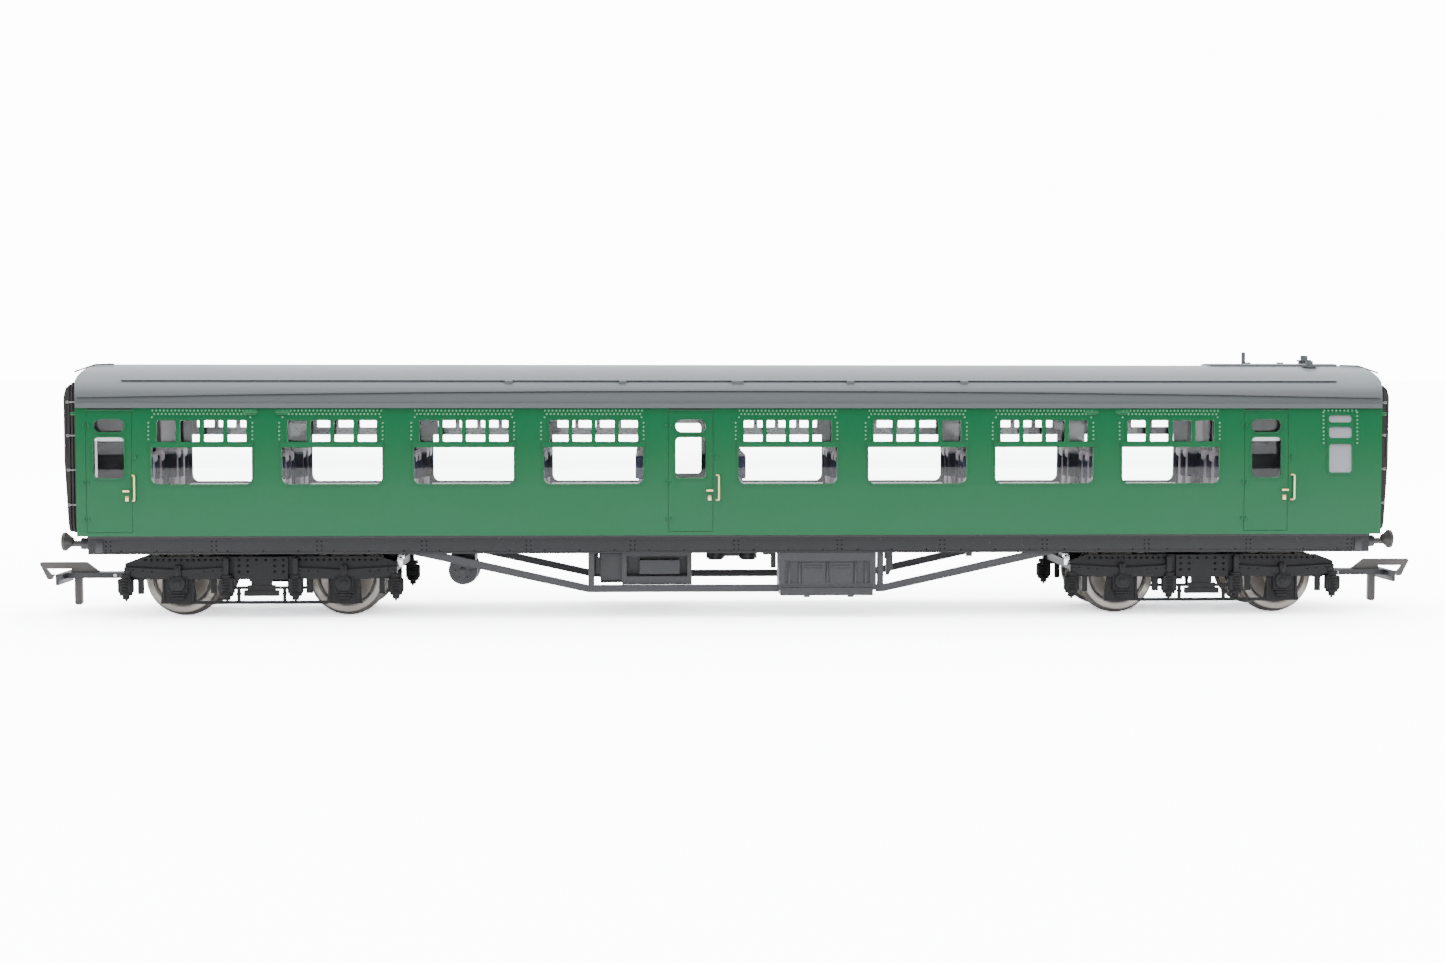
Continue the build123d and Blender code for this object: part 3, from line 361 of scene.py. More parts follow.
def bump(tree, height, strength, distance, normal=None):
    """A Bump node on a height, over another normal if one is given."""
    node = tree.nodes.new("ShaderNodeBump")
    node.inputs["Strength"].default_value = strength
    node.inputs["Distance"].default_value = distance
    tree.links.new(height, node.inputs["Height"])
    if normal is not None:
        tree.links.new(normal, node.inputs["Normal"])
    return node.outputs[0]


def moulded(name, colour, roughness, edge_gain=0.25, mottle_gain=0.10, dust_gain=0.0,
            grain_depth=0.000004, edge_radius=0.00008, specular=0.5, metallic=0.0):
    """Moulded or painted surface: mottled colour, edges painted lighter as a painted highlight, fine grain
    and a little dust.
    """
    material, tree, shader = new_material(name)
    skin = place_group(tree, MOULDED_SKIN)
    edge = place_group(tree, EDGE_LIGHT, Radius=edge_radius)
    dark = tuple(c * (1 - mottle_gain) for c in colour)
    light = tuple(min(1.0, c * (1 + mottle_gain)) for c in colour)
    base = mix_colour(tree, skin.outputs["Mottle"], dark, light)
    # painted highlight: the colour turns lighter along the edges found by the bevel mask
    lit = tuple(min(1.0, c + edge_gain * (0.5 * c + 0.12)) for c in colour)
    base = mix_colour(tree, math_node(tree, "MULTIPLY", edge.outputs["Edge"], edge_gain * 2), base, lit)
    if dust_gain:
        dust = math_node(tree, "MULTIPLY", skin.outputs["Dust"], dust_gain)
        base = mix_colour(tree, dust, base, (0.55, 0.55, 0.53))
    tree.links.new(base, shader.inputs["Base Color"])
    uneven = math_node(tree, "MULTIPLY", skin.outputs["Mottle"], 0.12)
    tree.links.new(math_node(tree, "ADD", uneven, roughness - 0.06), shader.inputs["Roughness"])
    shader.inputs["Specular IOR Level"].default_value = specular
    shader.inputs["Metallic"].default_value = metallic
    normal = bump(tree, skin.outputs["Grain"], 1.0, grain_depth, edge.outputs["Normal"])
    tree.links.new(normal, shader.inputs["Normal"])
    return material


def clear_plastic(name):
    """Clear polished plastic for the window mouldings."""
    material, tree, shader = new_material(name)
    shader.inputs["Base Color"].default_value = (0.97, 0.985, 0.98, 1)
    shader.inputs["Roughness"].default_value = 0.02
    shader.inputs["IOR"].default_value = 1.49
    shader.inputs["Transmission Weight"].default_value = 1.0
    wave = noise(tree, 90.0, 1.0)
    tree.links.new(bump(tree, wave, 0.25, 0.00002), shader.inputs["Normal"])
    # light on its way to the seats passes straight through
    path = tree.nodes.new("ShaderNodeLightPath")
    clear = tree.nodes.new("ShaderNodeBsdfTransparent")
    mix = tree.nodes.new("ShaderNodeMixShader")
    passing = math_node(tree, "MAXIMUM", path.outputs["Is Shadow Ray"], path.outputs["Is Diffuse Ray"])
    tree.links.new(passing, mix.inputs[0])
    tree.links.new(shader.outputs[0], mix.inputs[1])
    tree.links.new(clear.outputs[0], mix.inputs[2])
    output = next(node for node in tree.nodes if node.type == "OUTPUT_MATERIAL")
    tree.links.new(mix.outputs[0], output.inputs[0])
    return material


# --- finishes --------------------------------------------------------------------------
def colour_setting(label, use, default):
    """A colour that a user can change."""
    return bpy.props.FloatVectorProperty(
        name=label, description=use, size=3, subtype="COLOR", min=0, max=1, default=default)


def number_setting(label, use, default, unit="NONE"):
    """A size or a light level that a user can change."""
    return bpy.props.FloatProperty(name=label, description=use, unit=unit, precision=6, default=default)


class CoachFinishes(bpy.types.PropertyGroup):
    """Colours that a user would change"""

    body: colour_setting("Body", "Paint on the body sides and ends", (0.0015, 0.085, 0.027))
    roof: colour_setting("Roof", "Paint on the roof", (0.070, 0.079, 0.083))
    chassis: colour_setting("Chassis", "Moulded plastic under the floor", (0.020, 0.020, 0.0225))
    trim: colour_setting("Seat pads", "Pale seat pads and inner mouldings", (0.62, 0.54, 0.60))
    shells: colour_setting("Seat shells", "Dark seat backs and wings", (0.030, 0.034, 0.075))
    brass: colour_setting("Door furniture", "Grab rails and handles", (0.80, 0.56, 0.28))


def make_finishes(colours):
    """Every finish on the coach, by name."""
    finishes = {
        "green": moulded("coach_green", colours.body, **BODY_PAINT),
        "painted": painted_body("coach_paint", colours.body, (0.050, 0.054, 0.066)),
        # body rivets painted lighter than the body paint: a painted highlight on their heads
        "rivet_highlight_green": moulded("rivet_highlight_green", [c * 3.0 + 0.09 for c in colours.body], 0.3,
                               edge_gain=0.3, mottle_gain=0.04),
        # rivet heads painted much darker than the chassis plastic: painted shade round them
        "rivet_shaded_black": moulded("rivet_shaded_black", [c * 0.1 for c in colours.chassis], 0.6,
                               edge_gain=0.1, specular=0.12),
        "roof": moulded("roof_grey", colours.roof, 0.33, edge_gain=0.2, mottle_gain=0.05,
                        grain_depth=0.000006),
        "chassis": moulded("chassis_black", colours.chassis, 0.45, edge_gain=0.6, dust_gain=0.2),
        # solebars and headstocks painted darker than the chassis: painted shade where they sit under the
        # body
        "solebar": moulded("solebar_shaded_black", [c * 0.5 for c in colours.chassis], 0.5, edge_gain=0.5,
                           dust_gain=0.2, specular=0.4),
        "running_gear": moulded("running_gear_black", [c * 0.14 for c in colours.chassis], 0.5,
                                edge_gain=0.25, dust_gain=0.05, specular=0.28),
        "gangway": moulded("gangway_black", (0.014, 0.011, 0.010), 0.6, edge_gain=0.4, specular=0.35),
        "interior": moulded("interior_mauve", colours.trim, 0.55, edge_gain=0.2),
        "partition": moulded("partition_grey", (0.42, 0.37, 0.40), 0.55, edge_gain=0.2),
        "seat": moulded("seat_navy", colours.shells, 0.7, edge_gain=0.2, grain_depth=0.00002),
        "gold": moulded("door_gold", colours.brass, 0.3, metallic=0.6, edge_gain=0.1),
        "brass": moulded("bearing_brass", (0.70, 0.50, 0.22), 0.35, metallic=1.0),
        "steel": moulded("plain_steel", (0.40, 0.40, 0.41), 0.35, metallic=1.0),
        "tin": moulded("bright_tin", (0.85, 0.85, 0.86), 0.22, metallic=1.0),
        "hook": moulded("hook_steel", (0.075, 0.070, 0.066), 0.42, metallic=0.3, edge_gain=0.5),
        "buffer": moulded("buffer_black", (0.045, 0.042, 0.040), 0.4, metallic=0.3, edge_gain=0.5),
        "shadow": moulded("vent_shadow", (0.006, 0.016, 0.010), 0.8, edge_gain=0.1),
        # near-black panels: painted shade behind the end door windows
        "vestibule": moulded("vestibule_painted_shade", (0.010, 0.011, 0.013), 0.6,
                             edge_gain=0.1, specular=0.3),
        # glowing pale strips: painted light for the sills and a painted highlight for the droplight edges
        "sill": glowing_highlight_plastic("glowing_highlight_white"),
        "clip": moulded("clip_grey", (0.30, 0.30, 0.30), 0.4, edge_gain=0.3),
        "obscured": obscured_plastic("obscured_glass"),
        "clear": clear_plastic("clear_plastic"),
    }
    for tag, _ in BOGIES:
        for place in ("outer", "inner"):
            low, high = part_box(f"wheels_{tag}_{place}")
            centre = [(a + b) / 2 for a, b in zip(low, high)]
            finishes[f"wheel_{tag}_{place}"] = turned_metal(f"turned_metal_{tag}_{place}", centre)
    return finishes


def obscured_plastic(name):
    """Milky window plastic that lets light through but no view."""
    material, tree, shader = new_material(name)
    cloud = noise(tree, 160.0, 3.0)
    tree.links.new(mix_colour(tree, cloud, (0.27, 0.28, 0.31), (0.32, 0.33, 0.36)),
                   shader.inputs["Base Color"])
    shader.inputs["Roughness"].default_value = 0.35
    shader.inputs["Transmission Weight"].default_value = 0.25
    ripple = noise(tree, 2500.0, 2.0)
    tree.links.new(bump(tree, ripple, 0.6, 0.00002), shader.inputs["Normal"])
    return material


def glowing_highlight_plastic(name):
    """Pale plastic that glows with no lamp in it: painted light for bright strips."""
    material, tree, shader = new_material(name)
    cloud = noise(tree, 120.0, 2.0)
    tree.links.new(mix_colour(tree, cloud, (0.80, 0.80, 0.81), (0.88, 0.88, 0.88)),
                   shader.inputs["Base Color"])
    tree.links.new(mix_colour(tree, cloud, (0.90, 0.92, 0.94), (1.0, 1.0, 1.0)),
                   shader.inputs["Emission Color"])
    shader.inputs["Emission Strength"].default_value = 0.6
    shader.inputs["Roughness"].default_value = 0.4
    return material


def turned_metal(name, centre):
    """Turned metal with fine lathe rings about a wheelset's own axle, darker grime, and painted shade in the
    groove and on the flange.
    """
    material, tree, shader = new_material(name)
    coords = tree.nodes.new("ShaderNodeTexCoord")
    place = tree.nodes.new("ShaderNodeMapping")
    place.inputs["Location"].default_value = (-centre[0], -centre[1], -centre[2])
    tree.links.new(coords.outputs["Object"], place.inputs[0])
    axes = tree.nodes.new("ShaderNodeSeparateXYZ")
    tree.links.new(place.outputs[0], axes.inputs[0])
    square = math_node(tree, "ADD", math_node(tree, "MULTIPLY", axes.outputs[0], axes.outputs[0]),
                       math_node(tree, "MULTIPLY", axes.outputs[2], axes.outputs[2]))
    radius = math_node(tree, "SQRT", square)
    rings = tree.nodes.new("ShaderNodeTexNoise")
    rings.noise_dimensions = "1D"
    rings.inputs["Scale"].default_value = 9000.0
    rings.inputs["Detail"].default_value = 2.0
    tree.links.new(radius, rings.inputs["W"])
    skin = place_group(tree, MOULDED_SKIN)
    bright = mix_colour(tree, rings.outputs[0], (0.42, 0.385, 0.35), (0.60, 0.56, 0.51))
    grime = ramp(tree, skin.outputs["Mottle"], 0.45, 0.75)
    # painted shade: near black in the groove of the wheel face
    groove_shade = math_node(tree, "MULTIPLY", ramp(tree, radius, 0.00530, 0.0054),
                          math_node(tree, "SUBTRACT", 1.0, ramp(tree, radius, 0.00575, 0.00585)))
    bright = mix_colour(tree, groove_shade, bright, (0.02, 0.02, 0.02))
    # painted shade: the flange and tread darker
    flange = math_node(tree, "MULTIPLY", ramp(tree, radius, 0.00705, 0.00715), 0.75)
    bright = mix_colour(tree, flange, bright, (0.10, 0.095, 0.09))
    base = mix_colour(tree, math_node(tree, "MULTIPLY", grime, 0.5), bright, (0.12, 0.11, 0.10))
    tree.links.new(base, shader.inputs["Base Color"])
    shader.inputs["Metallic"].default_value = 0.45
    rough = math_node(tree, "ADD", math_node(tree, "MULTIPLY", grime, 0.2), 0.32)
    tree.links.new(rough, shader.inputs["Roughness"])
    tree.links.new(bump(tree, rings.outputs[0], 0.7, 0.000006), shader.inputs["Normal"])
    return material


def painted_body(name, colour, inside):
    """Satin paint outside and bare dark plastic inside, told apart by depth behind the skin."""
    material = moulded(name, colour, **BODY_PAINT)
    tree = material.node_tree
    shader = next(node for node in tree.nodes if node.type == "BSDF_PRINCIPLED")
    paint = shader.inputs["Base Color"].links[0].from_socket
    coords = tree.nodes.new("ShaderNodeTexCoord")
    axes = tree.nodes.new("ShaderNodeSeparateXYZ")
    tree.links.new(coords.outputs["Object"], axes.inputs[0])
    x, y, z = axes.outputs
    centre_y, centre_z, radius = skin_arc()
    across = math_node(tree, "SUBTRACT", math_node(tree, "ABSOLUTE", y), centre_y * MM)
    up = math_node(tree, "SUBTRACT", z, centre_z * MM)
    side_depth = math_node(tree, "SUBTRACT", radius * MM, length_node(tree, across, up))
    along = math_node(tree, "SUBTRACT", math_node(tree, "ABSOLUTE", x), BOW_CENTRE * MM)
    end_depth = math_node(tree, "SUBTRACT", BOW_RADIUS * MM, length_node(tree, along, y))
    depth = math_node(tree, "MINIMUM", side_depth, end_depth)
    bare = ramp(tree, depth, 0.0006, 0.0007)
    tree.links.new(mix_colour(tree, bare, paint, inside), shader.inputs["Base Color"])
    return material


def length_node(tree, first, second):
    """The length of a two-part offset."""
    total = math_node(tree, "ADD", math_node(tree, "MULTIPLY", first, first),
                      math_node(tree, "MULTIPLY", second, second))
    return math_node(tree, "SQRT", total)


SLOT_FINISH = {
    "body_green": "green", "roof_grey": "roof", "clear_glazing": "clear",
    "obscured_glazing": "obscured", "gangway_black": "gangway", "interior_plastic": "interior",
    "seat_blue": "seat", "ballast_steel": "steel", "chassis_black": "chassis",
    "buffer_metal": "buffer", "handle_gold": "gold", "bearing_brass": "brass",
    "axle_steel": "steel", "hook_steel": "hook",
}
FINISH = {}


class COACH_OT_finishes(bpy.types.Operator):
    """Give every node of the coach its finish"""

    bl_idname = "coach.finishes"
    bl_label = "Finishes"

    def execute(self, context):
        FINISH.update(make_finishes(context.scene.coach_finishes))
        for part in frame["record"]["subparts"]:
            name = part["node"]
            node = frame["nodes"][name]
            if name == "body_shell":
                finish = FINISH["painted"]
            elif name.startswith("wheels_"):
                finish = FINISH["wheel_" + name.removeprefix("wheels_")]
            # solebars and headstocks get the darker finish, painted shade
            elif name.startswith(("solebar_", "headstocks")):
                finish = FINISH["solebar"]
            elif name == "partitions":
                finish = FINISH["partition"]
            elif name.startswith("bogie_") and not name.endswith("bearings"):
                finish = FINISH["running_gear"]
            else:
                finish = FINISH[SLOT_FINISH[part["material_slot"]]]
            node.data.materials.clear()
            node.data.materials.append(finish)
        return {"FINISHED"}


# --- body detail ----------------------------------------------------------------------------
class CoachDetail(bpy.types.PropertyGroup):
    """Sizes of the fine detail"""

    rivet: number_setting("Body rivet", "Radius of a rivet head on the body side", 0.00023, "LENGTH")
    rivet_pitch: number_setting(
        "Rivet pitch", "Distance between rivets over the top lights", 0.00072, "LENGTH")
    frame_rivet: number_setting("Bogie rivet", "Radius of a rivet head on the bogie side", 0.0003, "LENGTH")


def steps(start, stop, pitch):
    """Evenly spaced places from start to stop, as near to a pitch as fits."""
    count = max(1, round((stop - start) / pitch))
    return [start + (stop - start) * i / count for i in range(count + 1)]


def both_sides(obj, name, finish, body="coach"):
    """Keep a near-side piece and add its mirror image on the far side."""
    obj.name = obj.data.name = name + "_near"
    twin = mirrored(obj, name + "_far")
    for piece in (obj, twin):
        fit(piece, FINISH[finish], body)


class COACH_OT_body_rivets(bpy.types.Operator):
    """Rows of rivets round the top lights and the small end window"""

    bl_idname = "coach.body_rivets"
    bl_label = "Body Rivets"

    def execute(self, context):
        detail = context.scene.coach_detail
        places = []
        pitch = detail.rivet_pitch / MM
        for left in WINDOW_LEFTS:
            right = left + WINDOW_WIDTH
            upper = steps(left + 0.2, right - 0.2, pitch)
            places += [on_side(x, SIDE_RIVET_ROWS[0]) for x in upper]
            places += [on_side(x + pitch / 2, SIDE_RIVET_ROWS[1]) for x in upper[:-1]]
            for x in (left - 0.55, right + 0.1):
                places += [on_side(x, z) for z in steps(*TOPLIGHT_RIVETS, 0.8)]
            places += [on_side(left + 0.1, 40.0), on_side(right - 0.3, 40.0)]
        for x in (117.1, 123.9):
            places += [on_side(x, z) for z in steps(34.9, 41.0, 0.76)]
        places += [on_side(x, 41.35) for x in steps(117.3, 123.7, 0.76)]
        rivets = join(copy_at(rivet_head(detail.rivet / MM), places), "body_rivets")
        # the rivet heads take the lighter finish, a painted highlight
        both_sides(rivets, "body_rivets", "rivet_highlight_green")
        return {"FINISHED"}


class COACH_OT_cantrail(bpy.types.Operator):
    """Folded bracket plates at the cantrail and a dark strip of painted shadow standing for the ventilator
    slot over each door
    """

    bl_idname = "coach.cantrail"
    bl_label = "Cantrail"

    def execute(self, context):
        plates = []
        for index, at_right in ((0, True), (1, False), (6, True), (7, False)):
            left = WINDOW_LEFTS[index]
            start = left + WINDOW_WIDTH - 1.7 if at_right else left - 1.3
            surface = skin_y(41.0)
            plate = block("plate", (start, -surface - 0.12, 40.75), (start + 2.8, -surface + 0.3, 41.62))
            foot = block("foot", (start + 0.4, -surface - 0.22, 40.45), (start + 2.4, -surface + 0.3, 40.75))
            plates += [soften(plate, 0.04), soften(foot, 0.04)]
        both_sides(join(plates, "cantrail_plates"), "cantrail_plates", "green")
        slots = []
        for left in DOOR_LEFTS:
            surface = skin_y(41.6)
            # painted shadow: a near-black strip standing proud of the skin where the slot is
            slot = block("slot", (left + 0.2, -surface - 0.06, 41.42),
                         (left + DOOR_WIDTH, -surface + 0.3, 41.74))
            slots.append(soften(slot, 0.05))
        both_sides(join(slots, "door_vent_slots"), "door_vent_slots", "shadow")
        drips = []
        for left in DOOR_LEFTS:
            surface = skin_y(41.3)
            drip = block("drip", (left - 0.2, -surface - 0.16, 41.2),
                         (left + DOOR_WIDTH + 0.2, -surface + 0.3, 41.4))
            drips.append(soften(drip, 0.06))
        both_sides(join(drips, "door_drip_strips"), "door_drip_strips", "green")
        return {"FINISHED"}


class COACH_OT_door_fittings(bpy.types.Operator):
    """Hinges, bump stops, locks and the small brackets at the body's corners"""

    bl_idname = "coach.door_fittings"
    bl_label = "Door Fittings"

    def execute(self, context):
        hinges = []
        for left in DOOR_LEFTS:
            for z in HINGE_HEIGHTS:
                for x in (left - 0.45, left + 0.45):
                    centre = Vector(on_side(x, z))
                    knuckle = drum("knuckle", centre + Vector((0, 0.02, 0)), 0.2, 0.7, "Z", 12)
                    hinges.append(soften(knuckle, 0.05))
            edge = left + DOOR_WIDTH
            stop = block("stop", on_side(edge + 0.5, 31.9, 0.3), on_side(edge + 0.95, 32.7, -0.3))
            hinges.append(soften(stop, 0.1))
        for end in (-1, 1):
            inner, outer = sorted((end * 128.4, end * 130.1))
            bracket = block("bracket", (inner, -16.9, 40.35), (outer, -16.2, 40.95))
            hinges.append(soften(bracket, 0.15))
        both_sides(join(hinges, "door_hinges"), "door_hinges", "green")
        locks = []
        for x in LOCK_PLACES:
            case = block("lock", on_side(x - 0.35, 23.6, 0.12), on_side(x + 0.35, 24.6, -0.2))
            locks.append(soften(case, 0.1))
        both_sides(join(locks, "door_locks"), "door_locks", "gold")
        return {"FINISHED"}


# --- interior ---------------------------------------------------------------------------------
PARTITIONS = (-118.0, -16.6, -1.5, 99.2)
SEAT_FLOOR = 19.9


def seat_places():
    """Every bench: the X of its back's rear face and the way that it faces."""
    pillars = [(WINDOW_LEFTS[i] + WINDOW_WIDTH + WINDOW_LEFTS[i + 1]) / 2 for i in (0, 1, 2, 4, 5, 6)]
    places = [(x + 0.55, 1) for x in pillars] + [(x - 0.55, -1) for x in pillars]
    for start, finish in ((0, 1), (2, 3)):
        places += [(PARTITIONS[start] + 0.8, 1), (PARTITIONS[finish] - 0.8, -1)]
    return places


class COACH_OT_seats(bpy.types.Operator):
    """Winged double seats in dark moulded shells with pale pads"""

    bl_idname = "coach.seats"
    bl_label = "Seats"

    def execute(self, context):
        shell = self.shells()
        pads = self.pads()
        for name, master, finish, slot in (
            ("seat_shells", shell, "seat", "seat_blue"),
            ("seat_pads", pads, "interior", "interior_plastic"),
        ):
            reverse = mirrored(master, "reverse", "X")
            forward = [(x, 0, 0) for x, facing in seat_places() if facing > 0]
            backward = [(x, 0, 0) for x, facing in seat_places() if facing < 0]
            benches = copy_at(master, forward) + copy_at(reverse, backward)
            both_sides(join(benches, name), name, finish)
        for side, _ in SIDES:
            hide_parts(f"seats_{side}")
        return {"FINISHED"}

    def shells(self):
        """Two backs side by side, each with wings and arms, on one plinth."""
        parts = []
        for inner in (-9.45, -15.05):
            outer = inner + 5.3
            back = block("back", (0, inner, SEAT_FLOOR), (0.9, outer, 31.9))
            parts.append(soften(back, 0.3))
            for edge in (inner, outer - 0.75):
                wing = block("wing", (0.2, edge, 27.8), (2.6, edge + 0.55, 32.2))
                parts.append(soften(wing, 0.26, 3))
                arm = block("arm", (0.5, edge, 24.0), (5.2, edge + 0.6, 25.7))
                parts.append(soften(arm, 0.28, 2))
        plinth = block("plinth", (0.2, -14.9, SEAT_FLOOR), (5.4, -4.3, 22.2))
        parts.append(soften(plinth, 0.2))
        return join(parts, "seat_shells")

    def pads(self):
        """A back pad, a rolled headrest and a crowned cushion for each seat."""
        parts = []
        for inner in (-9.45, -15.05):
            middle = inner + 2.65
            pad = block("pad", (0.75, middle - 2.05, 24.0), (2.0, middle + 2.05, 31.2))
            head = block("head", (0.5, middle - 2.1, 30.9), (2.6, middle + 2.1, 32.9))
            cushion = block("cushion", (1.2, middle - 1.95, 21.9), (6.0, middle + 1.95, 24.2))
            parts += [soften(pad, 0.45, 3), soften(head, 0.7, 3), soften(cushion, 0.6, 3)]
        return join(parts, "seat_pads")


class COACH_OT_sills(bpy.types.Operator):
    """Pale strips inside the body below the windows, glowing as painted light"""

    bl_idname = "coach.sills"
    bl_label = "Sills"

    def execute(self, context):
        sills = []
        for left in WINDOW_LEFTS:
            sill = block("sill", (left - 0.2, -15.9, 25.6), (left + WINDOW_WIDTH + 0.2, -15.5, 26.5))
            sills.append(soften(sill, 0.08))
        both_sides(join(sills, "window_sill_glow"), "window_sill_glow", "sill")
        return {"FINISHED"}


class COACH_OT_vestibules(bpy.types.Operator):
    """Dark panels of painted shade behind the end doors and glowing strips of painted highlight at the edges
    of their droplights
    """

    bl_idname = "coach.vestibules"
    bl_label = "Vestibules"

    def execute(self, context):
        shade_panels, edges = [], []
        for left in (DOOR_LEFTS[0], DOOR_LEFTS[2]):
            right = left + DOOR_WIDTH
            # painted shade: a near-black sheet close behind the door glazing
            shade_panel = block("shade_panel", (left - 1.2, -12.6, 20.5), (right + 0.4, -12.2, 41.2))
            shade_panels.append(soften(shade_panel, 0.08))
            # painted highlight: glowing strips along the top and one upright of each droplight
            top = block("top", (left + 1.3, -15.5, 35.25), (right - 1.3, -15.38, 36.2))
            upright = block("upright", (left + 1.25, -15.5, 28.2), (left + 1.7, -15.38, 36.0))
            edges += [soften(top, 0.04), soften(upright, 0.04)]
        both_sides(join(shade_panels, "vestibule_shade_panels"), "vestibule_shade_panels", "vestibule")
        both_sides(join(edges, "droplight_highlights"), "droplight_highlights", "sill")
        return {"FINISHED"}


# --- gangways ------------------------------------------------------------------------------------
class COACH_OT_gangways(bpy.types.Operator):
    """Cross clips and edge beads on the gangways"""

    bl_idname = "coach.gangways"
    bl_label = "Gangways"

    def execute(self, context):
        for tag, end in BOGIES:
            clips = []
            for z in CLIP_HEIGHTS:
                for side in (-1, 1):
                    x = sorted((end * 131.6, end * 133.7))
                    y = sorted((side * 6.9, side * 7.16))
                    clip = block("clip", (x[0], y[0], z - 0.14), (x[1], y[1], z + 0.14))
                    hook_x = sorted((end * 133.3, end * 133.8))
                    catch = block("catch", (hook_x[0], y[0], z - 0.3), (hook_x[1], y[1], z + 0.3))
                    clips += [soften(clip, 0.05), soften(catch, 0.08)]
            fit(join(clips, f"gangway_clips_{tag}"), FINISH["clip"], "coach")
            beads = []
            low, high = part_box(f"gangway_plate_{tag}")
            outer = (high[0] if end > 0 else low[0]) / MM
            for side in (-1, 1):
                face = sorted((outer - end * 0.55, outer - end * 0.25))
                y = sorted((side * 6.8, side * 7.13))
                bead = block("bead", (face[0], y[0], 31.6), (face[1], y[1], 43.4))
                beads.append(soften(bead, 0.08))
            fit(join(beads, f"gangway_beads_{tag}"), FINISH["gangway"], "coach")
        return {"FINISHED"}


# --- underframe -----------------------------------------------------------------------------------
class COACH_OT_underframe(bpy.types.Operator):
    """Rivets and joint plates on the solebars, ribs and catches on the battery boxes"""

    bl_idname = "coach.underframe"
    bl_label = "Underframe"

    def execute(self, context):
        places = []
        for x in steps(-123.5, 123.5, 20.6):
            places += [(x + dx, SOLEBAR_FACE, z) for dx in (-0.45, 0.45) for z in SOLEBAR_RIVETS]
        places += [(x, SOLEBAR_FACE, 13.62) for x in steps(-121, 121, 6.87)]
        rivets = join(copy_at(rivet_head(0.17), places), "solebar_rivets")
        # the solebar rivets take the darker finish, painted shade
        both_sides(rivets, "solebar_rivets", "rivet_shaded_black")
        plates = []
        for x in (-125.2, 125.2):
            plate = block("plate", (x - 0.7, -15.82, 13.2), (x + 0.7, -15.5, 16.0))
            plates.append(soften(plate, 0.08))
        both_sides(join(plates, "solebar_end_plates"), "solebar_end_plates", "chassis")
        for side, sign in SIDES:
            low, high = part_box(f"battery_box_{side}")
            self.battery_box(side, sign, low[0] / MM, high[0] / MM)
        self.dynamo()
        self.buffer_backs()
        return {"FINISHED"}

    def buffer_backs(self):
        """The tapered back of each buffer head."""
        low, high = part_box("buffer_heads")
        reach, height = high[0] / MM, (low[2] + high[2]) / 2 / MM
        backs = []
        for end in (-1, 1):
            for across in (-1, 1):
                deselect()
                bpy.ops.mesh.primitive_cone_add(
                    vertices=32, radius1=1.75 * MM, radius2=0.75 * MM, depth=1.5 * MM,
                    location=(end * (reach - 1.35) * MM, across * BUFFER_Y * MM, height * MM),
                    rotation=(0, -end * math.pi / 2, 0))
                backs.append(soften(settle(bpy.context.object), 0.15))
        fit(join(backs, "buffer_backs"), FINISH["buffer"], "coach")

    def battery_box(self, side, sign, start, finish):
        """Upright ribs, catches and a sill strip on a battery box's face."""
        parts = []
        middle = (start + finish) / 2
        for x in (middle - 7.6, middle - 5.6, middle, middle + 5.6, middle + 7.6):
            y = sorted((sign * 15.45, sign * 15.98))
            parts.append(soften(block("rib", (x - 0.22, y[0], 6.9), (x + 0.22, y[1], 11.3)), 0.07))
        for x in (middle - 2.75, middle + 2.75):
            y = sorted((sign * 15.6, sign * 16.12))
            parts.append(soften(block("catch", (x - 1.7, y[0], 10.15), (x + 1.7, y[1], 10.55)), 0.12))
        y = sorted((sign * 15.7, sign * 16.05))
        parts.append(soften(block("sill", (start + 0.5, y[0], 6.2), (finish - 0.5, y[1], 6.6)), 0.08))
        fit(join(parts, f"battery_ribs_{side}"), FINISH["chassis"], "coach")

    def dynamo(self):
        """Cover bolts, a terminal box and a hanger strap on the dynamo."""
        low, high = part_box("dynamo")
        x, z, y = (low[0] + high[0]) / 2 / MM, 9.3, low[1] / MM
        parts = []
        for turn in range(6):
            angle = turn * math.pi / 3
            bolt = rivet_head(0.28, 0.8)
            place = Vector((x + 1.55 * math.cos(angle), y, z + 1.55 * math.sin(angle))) * MM
            bolt.data.transform(Matrix.Translation(place))
            parts.append(bolt)
        boss = drum("boss", (x, y + 0.05, z), 0.7, 0.3, "Y", 16)
        parts.append(soften(boss, 0.1))
        for offset in (-9.4, -6.2):
            strap = drum("strap", (x, offset, z), 3.05, 0.5, "Y", 40)
            parts.append(soften(strap, 0.1))
        fit(join(parts, "dynamo_fittings"), FINISH["chassis"], "coach")


